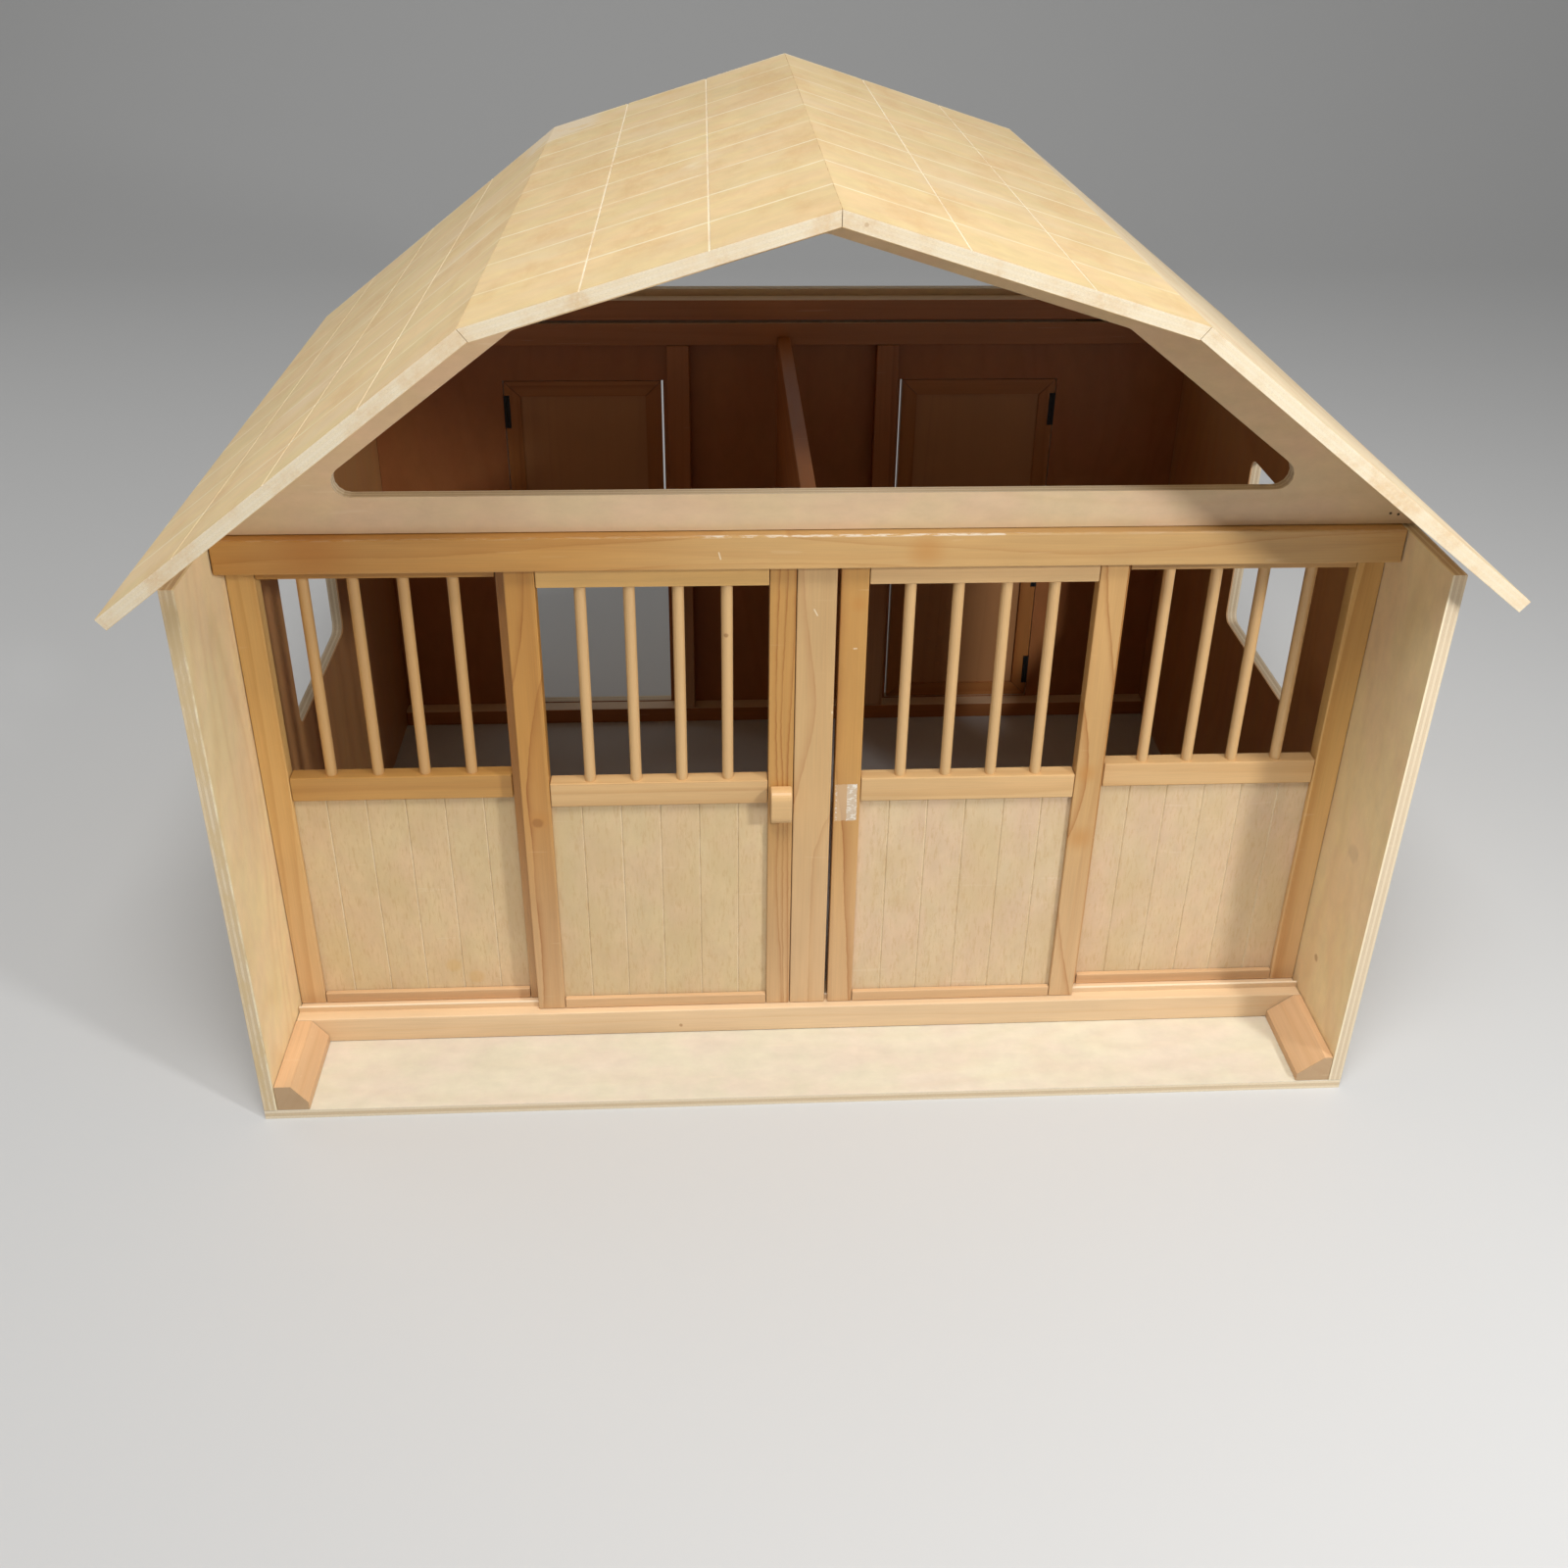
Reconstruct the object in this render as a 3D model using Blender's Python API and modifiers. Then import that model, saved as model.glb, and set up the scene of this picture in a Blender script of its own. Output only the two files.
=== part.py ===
"""A wooden toy horse stable, about 1:9, made the way a small workshop makes it.

Plywood side and back walls stand on a front base board. The stall fronts are pine frames with
grooved panels and dowel bars. Two sliding doors of the same make run behind the lip of the
header, on a thin wooden track let into the sill. The gambrel roof and its two open gables are
one lid on butt hinges at the top of the back wall, and the back wall has two split doors.

Metres, +Z up, front towards -Y, origin under the middle of the whole at table level.
"""

import math

import bmesh
import bpy
from mathutils import Matrix, Vector

# Fits
TOUCH_GAP = 0.0003
SLIDE_GAP = 0.0005
CUT_OVERRUN = 0.002
EASED_EDGE = 0.0006
WELD_DISTANCE = 0.00001

# Carcass of plywood
BODY_WIDTH = 0.615
BODY_DEPTH = 0.4272
WALL_HEIGHT = 0.3344
WALL_PLY = 0.0072
BASE_THICKNESS = 0.006

# Side windows, measured from the front edge, the foot and the top of the wall
WINDOW_FRONT = 0.148
WINDOW_LENGTH = 0.118
WINDOW_FOOT = 0.166
WINDOW_HEAD = 0.0484
WINDOW_CORNER_RADIUS = 0.007

# Sill and kerbs on the base board
SILL_SETBACK = 0.0522
SILL_HEIGHT = 0.0170
TRACK_SETBACK = 0.0068
TRACK_THICKNESS = 0.0012
TRACK_RISE = 0.0036
TRACK_SEAT = 0.0030
LEFT_KERB_WIDTH = 0.0176
LEFT_KERB_TOP_WIDTH = 0.0090
RIGHT_KERB_WIDTH = 0.0190
RIGHT_KERB_TOP_WIDTH = 0.0045
KERB_FOOT_HEIGHT = 0.0050

# Header over the doors
HEADER_SETBACK = 0.0495
HEADER_HEIGHT = 0.0189
HEADER_RISE = 0.0011
HEADER_END_GAP = 0.0006
HEADER_EDGE = 0.0009
CHANNEL_DEPTH = 0.0053

# Stall fronts and sliding doors share one make
FRAME_THICKNESS = 0.0090
DOOR_SETBACK = 0.0562
DOOR_TO_STALL_GAP = 0.0008
DOOR_WIDTH = 0.1484
STALL_LAP = 0.0090
STILE_WIDTH = 0.0145
LEFT_DOOR_OUTER_STILE_WIDTH = 0.0156
LEFT_DOOR_INNER_STILE_WIDTH = 0.0136
FOOT_RAIL_HEIGHT = 0.0071
PANEL_HEIGHT = 0.1384
MID_RAIL_HEIGHT = 0.0151
DOOR_TOP_RAIL_HEIGHT = 0.0159
STALL_TOP_RAIL_HEIGHT = 0.0104
DOOR_TOP_ENTRY = 0.0035
KERF_CLEARANCE = 0.0004
CENTRE_POST_WIDTH = 0.0206
DOOR_TO_POST_GAP = 0.0004
RIGHT_DOOR_AJAR = 0.0015

# Grooved panels and dowel bars
PANEL_THICKNESS = 0.0030
PANEL_RECESS = 0.0029
PANEL_TONGUE = 0.0030
PANEL_FOOT_TONGUE = 0.0012
PANEL_GROOVE_PITCH = 0.0215
PANEL_GROOVE_WIDTH = 0.0012
PANEL_GROOVE_DEPTH = 0.0007
BAR_COUNT = 4
BAR_DIAMETER = 0.0061
BAR_SEAT = 0.0040
BAR_SIDES = 16

# Handle of the left sliding door
HANDLE_WIDTH = 0.0118
HANDLE_HEIGHT = 0.0214
HANDLE_DEPTH = 0.0085
HANDLE_ROUNDING = 0.0052
HANDLE_EDGE_INSET = 0.0006
HANDLE_DROP = 0.0010

# Back wall: rails, battens, doorways and their split doors
BATTEN_THICKNESS = 0.0118
BACK_FOOT_RAIL_HEIGHT = 0.0125
BACK_TOP_RAIL_HEIGHT = 0.0164
BACK_TOP_RAIL_DROP = 0.0004
BACK_BATTEN_WIDTH = 0.0160
BACK_BATTEN_INSET = 0.0035
DOORWAY_INNER = 0.0875
DOORWAY_WIDTH = 0.1170
DOORWAY_FOOT = 0.0130
DOORWAY_HEAD = 0.0469
LEAF_SIDE_GAP = 0.0007
LATCH_GAP = 0.0015
LEAF_SPLIT_GAP = 0.0012
LEAF_FRAME_WIDTH = 0.0115
LEAF_PANEL_RECESS = 0.0016
MITRE_WIDTH = 0.0006
MITRE_DEPTH = 0.0005

# Butt hinges
HINGE_LENGTH = 0.0250
HINGE_PLATE = 0.0019
HINGE_BITE = 0.0001
HINGE_KNUCKLE_RADIUS = 0.0021
HINGE_BORE_RADIUS = 0.0011
HINGE_PIN_RADIUS = 0.0006
HINGE_SIDES = 12
LEAF_HINGE_INSET = 0.0110
LEAF_HINGE_PLATE_DEPTH = 0.0074
LID_HINGE_PLATE = 0.0006
LID_HINGE_PLATE_DEPTH = 0.0150
LID_HINGE_INSET = 0.0757

# Partition between the two stalls
PARTITION_THICKNESS = 0.0090
PARTITION_DROP = 0.0104

# Gambrel roof
ROOF_PLY = 0.0070
ROOF_CLEARANCE = 0.0037
EAVE_OVERHANG = 0.0225
FRONT_OVERHANG = 0.0187
REAR_OVERHANG = 0.0141
BREAK_INSET = 0.1495
LOWER_PITCH_DEGREES = 37.86
UPPER_PITCH_DEGREES = 17.30
GABLE_SETBACK = 0.0555
GABLE_RIM = 0.0195
GABLE_CORNER_RADIUS = 0.0080
GABLE_BATTEN_HEIGHT = 0.0148
ROOF_GROOVE_WIDTH = 0.0013
ROOF_GROOVE_DEPTH = 0.0006
ROOF_GROOVE_PITCH = 0.0560

# Places that follow from the sizes
ROOF_LENGTH = FRONT_OVERHANG + BODY_DEPTH + REAR_OVERHANG
FRONT_Y = FRONT_OVERHANG - ROOF_LENGTH / 2
BACK_Y = FRONT_Y + BODY_DEPTH
OUTER_HALF = BODY_WIDTH / 2
INNER_HALF = OUTER_HALF - WALL_PLY
SILL_FRONT_Y = FRONT_Y + SILL_SETBACK
SILL_TOP = BASE_THICKNESS + TOUCH_GAP + SILL_HEIGHT
DOOR_FRONT_Y = FRONT_Y + DOOR_SETBACK
STALL_FRONT_Y = DOOR_FRONT_Y + FRAME_THICKNESS + DOOR_TO_STALL_GAP
STALL_BACK_Y = STALL_FRONT_Y + FRAME_THICKNESS
TRACK_Y = SILL_FRONT_Y + TRACK_SETBACK
HEADER_TOP = WALL_HEIGHT + HEADER_RISE
HEADER_FOOT = HEADER_TOP - HEADER_HEIGHT
FRAME_FOOT = SILL_TOP + TOUCH_GAP
POST_X = (-CENTRE_POST_WIDTH / 2, CENTRE_POST_WIDTH / 2)
DOOR_INNER_X = CENTRE_POST_WIDTH / 2 + DOOR_TO_POST_GAP
DOOR_OUTER_X = DOOR_INNER_X + DOOR_WIDTH
STALL_INNER_X = DOOR_OUTER_X - STALL_LAP
STALL_OUTER_X = INNER_HALF - TOUCH_GAP
BACK_WALL_Y = BACK_Y - WALL_PLY
BATTEN_BACK_Y = BACK_WALL_Y - TOUCH_GAP
BATTEN_FRONT_Y = BATTEN_BACK_Y - BATTEN_THICKNESS
DOORWAY_OUTER = DOORWAY_INNER + DOORWAY_WIDTH
DOORWAY_TOP = WALL_HEIGHT - DOORWAY_HEAD
HINGE_Y = BACK_Y + HINGE_KNUCKLE_RADIUS + TOUCH_GAP
LEAF_HINGE_X = DOORWAY_OUTER - HINGE_PLATE + HINGE_BITE - TOUCH_GAP / 2
LID_HINGE_Z = WALL_HEIGHT + LID_HINGE_PLATE - HINGE_BITE + TOUCH_GAP / 2
LID_HINGE_X = INNER_HALF - LID_HINGE_INSET
LID_FOOT = LID_HINGE_Z + TOUCH_GAP / 2 + LID_HINGE_PLATE + TOUCH_GAP

LEAF_HINGE = (HINGE_PLATE, LEAF_HINGE_PLATE_DEPTH)
LID_HINGE = (LID_HINGE_PLATE, LID_HINGE_PLATE_DEPTH)

# The roof's section, from its two pitches, over the top outer edge of the wall
LOWER_PITCH = math.radians(LOWER_PITCH_DEGREES)
UPPER_PITCH = math.radians(UPPER_PITCH_DEGREES)
LOWER_PLUMB = ROOF_PLY / math.cos(LOWER_PITCH)
UPPER_PLUMB = ROOF_PLY / math.cos(UPPER_PITCH)
WALL_ROOF_TOP = WALL_HEIGHT + ROOF_CLEARANCE + LOWER_PLUMB
EAVE_X = OUTER_HALF + EAVE_OVERHANG
EAVE_Z = WALL_ROOF_TOP - EAVE_OVERHANG * math.tan(LOWER_PITCH)
BREAK_X = OUTER_HALF - BREAK_INSET
BREAK_Z = WALL_ROOF_TOP + BREAK_INSET * math.tan(LOWER_PITCH)
RIDGE_Z = BREAK_Z + BREAK_X * math.tan(UPPER_PITCH)

SIDES = {"left": -1, "right": 1}


def clear_scene():
    """Removes every object, so that the script starts from nothing."""
    for obj in list(bpy.data.objects):
        bpy.data.objects.remove(obj, do_unlink=True)


def new_collection(name):
    collection = bpy.data.collections.new(name)
    bpy.context.scene.collection.children.link(collection)
    return collection


def new_material(name, colour, roughness, metallic=0.0):
    """One Principled finish."""
    finish = bpy.data.materials.new(name)
    finish.use_nodes = True
    finish.diffuse_color = (*colour, 1.0)
    shader = finish.node_tree.nodes["Principled BSDF"]
    shader.inputs["Base Color"].default_value = (*colour, 1.0)
    shader.inputs["Roughness"].default_value = roughness
    shader.inputs["Metallic"].default_value = metallic
    return finish


clear_scene()
PARTS = new_collection("toy_stable")
CUTTERS = new_collection("toy_stable_cutters")
PLYWOOD = new_material("birch_plywood", (0.72, 0.53, 0.33), 0.55)
PINE = new_material("lacquered_pine", (0.66, 0.41, 0.19), 0.42)
PANEL_BOARD = new_material("grooved_panel_board", (0.69, 0.50, 0.31), 0.60)
BLACK_PLASTIC = new_material("black_hinge_plastic", (0.015, 0.015, 0.016), 0.45)


def mesh_object(name, bm, finish, collection, location=(0.0, 0.0, 0.0)):
    """Turns a bmesh into an object of one finish."""
    mesh = bpy.data.meshes.new(name)
    bm.to_mesh(mesh)
    bm.free()
    if finish:
        mesh.materials.append(finish)
    obj = bpy.data.objects.new(name, mesh)
    obj.location = location
    collection.objects.link(obj)
    if collection is CUTTERS:
        obj.hide_render = True
        obj.display_type = "WIRE"
    return obj


def ranges(x, y, z):
    """Lowest and highest corner of the block that spans these three ranges."""
    pairs = [sorted(r) for r in (x, y, z)]
    return Vector([p[0] for p in pairs]), Vector([p[1] for p in pairs])


def block(name, x, y, z, finish, edge=0.0, collection=PARTS):
    """A squared piece between two corners, with its edges eased."""
    low, high = ranges(x, y, z)
    bm = bmesh.new()
    bmesh.ops.create_cube(bm, size=1.0, matrix=Matrix.Diagonal((*(high - low), 1.0)))
    obj = mesh_object(name, bm, finish, collection, (low + high) / 2)
    if edge:
        ease(obj, edge)
    return obj


def ease(obj, width, segments=2):
    """Rounds the sharp edges of a piece by a Bevel modifier."""
    bevel = obj.modifiers.new("eased_edges", "BEVEL")
    bevel.width = width
    bevel.segments = segments
    bevel.limit_method = "ANGLE"
    bevel.use_clamp_overlap = True


def cutter(name, x, y, z):
    return block(name, x, y, z, None, collection=CUTTERS)


def round_cornered_cutter(name, x, y, z, radius, along):
    """A block whose four edges that run along one axis are rounded."""
    low, high = ranges(x, y, z)
    bm = bmesh.new()
    bmesh.ops.create_cube(bm, size=1.0, matrix=Matrix.Diagonal((*(high - low), 1.0)))
    other = [a for a in range(3) if a != along]
    edges = [
        e for e in bm.edges
        if all(abs(e.verts[0].co[a] - e.verts[1].co[a]) < radius for a in other)
    ]
    bmesh.ops.bevel(bm, geom=edges, offset=radius, segments=6, profile=0.5, affect="EDGES")
    return mesh_object(name, bm, None, CUTTERS, (low + high) / 2)


def rod(name, radius, length, matrix, finish=None, collection=CUTTERS, sides=BAR_SIDES):
    """A round rod along the local Z of the matrix, centred on it."""
    bm = bmesh.new()
    bmesh.ops.create_cone(
        bm, cap_ends=True, segments=sides, radius1=radius, radius2=radius, depth=length
    )
    obj = mesh_object(name, bm, finish, collection)
    obj.matrix_world = matrix
    return obj


def boolean(obj, tool, operation):
    modifier = obj.modifiers.new(f"{operation.lower()}_{tool.name}"[:60], "BOOLEAN")
    modifier.operation = operation
    modifier.solver = "EXACT"
    modifier.object = tool


def cut(obj, *tools):
    for tool in tools:
        boolean(obj, tool, "DIFFERENCE")


def join(obj, *tools):
    for tool in tools:
        boolean(obj, tool, "UNION")


def mesh_from_curve(curve_object, collection):
    """The closed mesh of a flat curve, with its caps welded to its sides."""
    bpy.context.view_layer.update()
    evaluated = curve_object.evaluated_get(bpy.context.evaluated_depsgraph_get())
    mesh = bpy.data.meshes.new_from_object(evaluated)
    name, matrix = curve_object.name, curve_object.matrix_world.copy()
    curve = curve_object.data
    bpy.data.objects.remove(curve_object, do_unlink=True)
    bpy.data.curves.remove(curve)
    bm = bmesh.new()
    bm.from_mesh(mesh)
    bmesh.ops.remove_doubles(bm, verts=bm.verts, dist=WELD_DISTANCE)
    bmesh.ops.recalc_face_normals(bm, faces=bm.faces)
    bm.to_mesh(mesh)
    bm.free()
    obj = bpy.data.objects.new(name, mesh)
    obj.matrix_world = matrix
    collection.objects.link(obj)
    return obj


def plate(name, outlines, thickness, matrix, finish, collection=PARTS):
    """A flat outline with its holes, given its thickness on both sides of the local XY plane."""
    curve = bpy.data.curves.new(name, "CURVE")
    curve.dimensions = "2D"
    curve.fill_mode = "BOTH"
    curve.extrude = thickness / 2
    if finish:
        curve.materials.append(finish)
    for outline in outlines:
        spline = curve.splines.new("POLY")
        spline.points.add(len(outline) - 1)
        for point, (u, v) in zip(spline.points, outline):
            point.co = (u, v, 0.0, 1.0)
        spline.use_cyclic_u = True
    obj = bpy.data.objects.new(name, curve)
    obj.matrix_world = matrix
    collection.objects.link(obj)
    obj = mesh_from_curve(obj, collection)
    if collection is CUTTERS:
        obj.hide_render = True
        obj.display_type = "WIRE"
    return obj


def standing(y):
    """Places an outline's X and Y as the stable's X and Z, on the plane at this Y."""
    return Matrix.Translation((0.0, y, 0.0)) @ Matrix.Rotation(math.radians(90), 4, "X")


def lying(z):
    """Places an outline's X and Y as the stable's X and Y, on the plane at this Z."""
    return Matrix.Translation((0.0, 0.0, z))


def rounded(corners, radius, steps=6):
    """The corners of an outline, each replaced by an arc that is tangent to both its sides."""
    points = []
    for i, corner in enumerate(corners):
        here = Vector(corner)
        before = (Vector(corners[i - 1]) - here).normalized()
        after = (Vector(corners[(i + 1) % len(corners)]) - here).normalized()
        half = before.angle(after) / 2
        centre = here + (before + after).normalized() * radius / math.sin(half)
        start = here + before * radius / math.tan(half) - centre
        end = here + after * radius / math.tan(half) - centre
        turn = start.angle_signed(end)
        for step in range(steps + 1):
            angle = -turn * step / steps
            points.append(
                (
                    centre.x + start.x * math.cos(angle) - start.y * math.sin(angle),
                    centre.y + start.x * math.sin(angle) + start.y * math.cos(angle),
                )
            )
    return points


def groove_places(width, pitch):
    """Places of an odd number of grooves about the middle of a width, at one pitch."""
    each_side = int(width / 2 / pitch)
    return [pitch * n for n in range(-each_side, each_side + 1)]


def axis_empty(name, location):
    """An empty on a joint's axis. The pieces that move about it are its children."""
    empty = bpy.data.objects.new(name, None)
    empty.empty_display_size = HINGE_LENGTH
    empty.location = location
    PARTS.objects.link(empty)
    return empty


def ride(empty, *objects):
    """Parents pieces and their cutters to an empty, and keeps them where they are."""
    bpy.context.view_layer.update()
    tools = {m.object for obj in objects for m in obj.modifiers if m.type == "BOOLEAN"}
    for obj in (*objects, *sorted(tools, key=lambda tool: tool.name)):
        world = obj.matrix_world.copy()
        obj.parent = empty
        obj.matrix_parent_inverse = empty.matrix_world.inverted()
        obj.matrix_basis = world


def shade_round(obj):
    """Shades round pieces smooth and keeps their real corners sharp."""
    obj.data.shade_smooth()
    obj.data.set_sharp_from_angle(angle=math.radians(35))


# Base board, sill and kerbs


def make_base():
    """The front base board, the sill across it and the chamfered kerb along each wall."""
    block(
        "base_apron",
        (-OUTER_HALF, OUTER_HALF), (FRONT_Y, STALL_BACK_Y), (0.0, BASE_THICKNESS),
        PLYWOOD,
    )
    sill = block(
        "front_sill",
        (-STALL_OUTER_X, STALL_OUTER_X), (SILL_FRONT_Y, STALL_BACK_Y),
        (BASE_THICKNESS + TOUCH_GAP, SILL_TOP),
        PINE, EASED_EDGE,
    )
    for side, sign in SIDES.items():
        track = block(
            f"{side}_track",
            (sign * (CENTRE_POST_WIDTH / 2 + TOUCH_GAP), sign * (STALL_OUTER_X - TOUCH_GAP)),
            (TRACK_Y, TRACK_Y + TRACK_THICKNESS),
            (SILL_TOP - TRACK_SEAT, SILL_TOP + TRACK_RISE),
            PINE, collection=CUTTERS,
        )
        join(sill, track)
        make_kerb(side, sign)


def make_kerb(side, sign):
    """A square-ended strip with its inner top corner planed off, from the sill to the front.

    The corners were planed by hand, the right one deeper.
    """
    width, top_width = {
        "left": (LEFT_KERB_WIDTH, LEFT_KERB_TOP_WIDTH),
        "right": (RIGHT_KERB_WIDTH, RIGHT_KERB_TOP_WIDTH),
    }[side]
    foot = BASE_THICKNESS + TOUCH_GAP
    wall = sign * STALL_OUTER_X
    section = [
        (wall, foot),
        (wall, SILL_TOP),
        (wall - sign * top_width, SILL_TOP),
        (wall - sign * width, foot + KERB_FOOT_HEIGHT),
        (wall - sign * width, foot),
    ]
    front = FRONT_Y + TOUCH_GAP
    back = SILL_FRONT_Y - TOUCH_GAP
    plate(f"{side}_kerb", [section], back - front, standing((front + back) / 2), PINE)


# Plywood walls


def make_side_walls():
    """Each side wall stands on the base board in front and on the table behind it."""
    for side, sign in SIDES.items():
        wall = block(
            f"{side}_side_wall",
            (sign * INNER_HALF, sign * OUTER_HALF), (FRONT_Y, BACK_Y), (0.0, WALL_HEIGHT),
            PLYWOOD,
        )
        through = (sign * (INNER_HALF - CUT_OVERRUN), sign * (OUTER_HALF + CUT_OVERRUN))
        cut(
            wall,
            cutter(
                f"{side}_base_notch",
                through,
                (FRONT_Y - CUT_OVERRUN, STALL_BACK_Y + TOUCH_GAP),
                (-CUT_OVERRUN, BASE_THICKNESS + TOUCH_GAP),
            ),
            round_cornered_cutter(
                f"{side}_window_hole",
                through,
                (FRONT_Y + WINDOW_FRONT, FRONT_Y + WINDOW_FRONT + WINDOW_LENGTH),
                (WINDOW_FOOT, WALL_HEIGHT - WINDOW_HEAD),
                WINDOW_CORNER_RADIUS,
                along=0,
            ),
        )


def make_back_wall():
    """The back wall with its two doorways, the inner rails and battens, and the fixed hinge halves."""
    wall = block(
        "back_wall",
        (-STALL_OUTER_X, STALL_OUTER_X), (BACK_WALL_Y, BACK_Y), (0.0, WALL_HEIGHT),
        PLYWOOD,
    )
    top_rail_top = WALL_HEIGHT - BACK_TOP_RAIL_DROP
    top_rail_foot = top_rail_top - BACK_TOP_RAIL_HEIGHT
    block(
        "back_top_rail",
        (-STALL_OUTER_X, STALL_OUTER_X), (BATTEN_FRONT_Y, BATTEN_BACK_Y),
        (top_rail_foot, top_rail_top),
        PINE, EASED_EDGE,
    )
    block(
        "back_bottom_rail",
        (-STALL_OUTER_X, STALL_OUTER_X), (BATTEN_FRONT_Y, BATTEN_BACK_Y),
        (0.0, BACK_FOOT_RAIL_HEIGHT),
        PINE, EASED_EDGE,
    )
    through = (BACK_WALL_Y - CUT_OVERRUN, BACK_Y + CUT_OVERRUN)
    for side, sign in SIDES.items():
        batten_edge = DOORWAY_INNER - BACK_BATTEN_INSET
        block(
            f"{side}_back_batten",
            (sign * (batten_edge - BACK_BATTEN_WIDTH), sign * batten_edge),
            (BATTEN_FRONT_Y, BATTEN_BACK_Y),
            (BACK_FOOT_RAIL_HEIGHT + TOUCH_GAP, top_rail_foot - TOUCH_GAP),
            PINE, EASED_EDGE,
        )
        cut(
            wall,
            cutter(
                f"{side}_doorway",
                (sign * DOORWAY_INNER, sign * DOORWAY_OUTER),
                through, (DOORWAY_FOOT, DOORWAY_TOP),
            ),
        )
        for level, (low, high) in leaf_levels().items():
            for end, z in leaf_hinge_heights(low, high).items():
                name = f"{side}_{level}_{end}_jamb"
                join(wall, *fixed_half(name, leaf_hinge_matrix(sign, z), LEAF_HINGE))
        join(wall, *fixed_half(f"{side}_lid_lower", lid_hinge_matrix(sign), LID_HINGE))


def make_partition():
    """The board between the two stalls, from the centre post to the rails of the back wall."""
    block(
        "stall_partition",
        (-PARTITION_THICKNESS / 2, PARTITION_THICKNESS / 2),
        (STALL_BACK_Y + TOUCH_GAP, BATTEN_FRONT_Y - TOUCH_GAP),
        (0.0, WALL_HEIGHT - PARTITION_DROP),
        PINE, EASED_EDGE,
    )


# Header and centre post


def make_header():
    """A pine rail with a channel in its underside, whose front lip hides the tops of the doors."""
    header = block(
        "front_header",
        (-(INNER_HALF - HEADER_END_GAP), INNER_HALF - HEADER_END_GAP),
        (FRONT_Y + HEADER_SETBACK, STALL_BACK_Y),
        (HEADER_FOOT, HEADER_TOP),
        PINE, HEADER_EDGE,
    )
    cut(
        header,
        cutter(
            "door_channel",
            (-OUTER_HALF, OUTER_HALF),
            (DOOR_FRONT_Y - SLIDE_GAP, DOOR_FRONT_Y + FRAME_THICKNESS + SLIDE_GAP),
            (HEADER_FOOT - CUT_OVERRUN, HEADER_FOOT + CHANNEL_DEPTH),
        ),
    )
    block(
        "centre_post",
        POST_X,
        (DOOR_FRONT_Y, STALL_BACK_Y),
        (FRAME_FOOT, HEADER_FOOT - TOUCH_GAP),
        PINE, EASED_EDGE,
    )


# Stall fronts and sliding doors


def make_front(name, left, right, front, top, top_rail_height, stiles=(STILE_WIDTH, STILE_WIDTH)):
    """A frame of two stiles and three rails, with a grooved panel below and dowel bars above.

    The stiles are given as the widths of the left and the right one. The panel's edges are let
    into grooves, and the bars into blind holes. Returns the pieces by name.
    """
    back = front + FRAME_THICKNESS
    panel_foot = FRAME_FOOT + FOOT_RAIL_HEIGHT
    panel_top = panel_foot + PANEL_HEIGHT
    bars_foot = panel_top + MID_RAIL_HEIGHT
    bars_top = top - top_rail_height
    inner_left = left + stiles[0]
    inner_right = right - stiles[1]
    between = (inner_left + TOUCH_GAP, inner_right - TOUCH_GAP)
    depth = (front, back)
    pieces = {
        "left_stile": block(
            f"{name}_left_stile", (left, inner_left), depth, (FRAME_FOOT, top), PINE, EASED_EDGE
        ),
        "right_stile": block(
            f"{name}_right_stile", (inner_right, right), depth, (FRAME_FOOT, top), PINE, EASED_EDGE
        ),
        "top_rail": block(f"{name}_top_rail", between, depth, (bars_top, top), PINE, EASED_EDGE),
        "bar_rail": block(
            f"{name}_bar_rail", between, depth, (panel_top, bars_foot), PINE, EASED_EDGE
        ),
        "bottom_rail": block(
            f"{name}_bottom_rail", between, depth, (FRAME_FOOT, panel_foot), PINE, EASED_EDGE
        ),
    }
    add_bars(name, pieces, inner_left, inner_right, (front + back) / 2, bars_foot, bars_top)
    panel_x = (inner_left - PANEL_TONGUE, inner_right + PANEL_TONGUE)
    panel_y = (front + PANEL_RECESS, front + PANEL_RECESS + PANEL_THICKNESS)
    panel_z = (panel_foot - PANEL_FOOT_TONGUE, panel_top + PANEL_TONGUE)
    slot = cutter(
        f"{name}_panel_slot",
        *[(low - TOUCH_GAP, high + TOUCH_GAP) for low, high in (panel_x, panel_y, panel_z)],
    )
    for part in ("left_stile", "right_stile", "bar_rail", "bottom_rail"):
        cut(pieces[part], slot)
    pieces["panel"] = make_panel(f"{name}_panel", panel_x, panel_y, panel_z, inner_right - inner_left)
    return pieces


def add_bars(name, pieces, inner_left, inner_right, y, foot, top):
    """Dowel bars with equal gaps, fused to the middle rail and let into the top rail."""
    gap = (inner_right - inner_left - BAR_COUNT * BAR_DIAMETER) / (BAR_COUNT + 1)
    length = top - foot + 2 * BAR_SEAT
    radius = BAR_DIAMETER / 2
    for n in range(BAR_COUNT):
        x = inner_left + gap + radius + n * (gap + BAR_DIAMETER)
        middle = Matrix.Translation((x, y, (foot + top) / 2))
        join(pieces["bar_rail"], rod(f"{name}_bar_{n + 1}", radius, length, middle))
        hole_depth = BAR_SEAT + TOUCH_GAP + CUT_OVERRUN
        hole_middle = Matrix.Translation((x, y, top - CUT_OVERRUN + hole_depth / 2))
        hole = rod(f"{name}_bar_hole_{n + 1}", radius + TOUCH_GAP, hole_depth, hole_middle)
        cut(pieces["top_rail"], hole)
    shade_round(pieces["bar_rail"])


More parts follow.
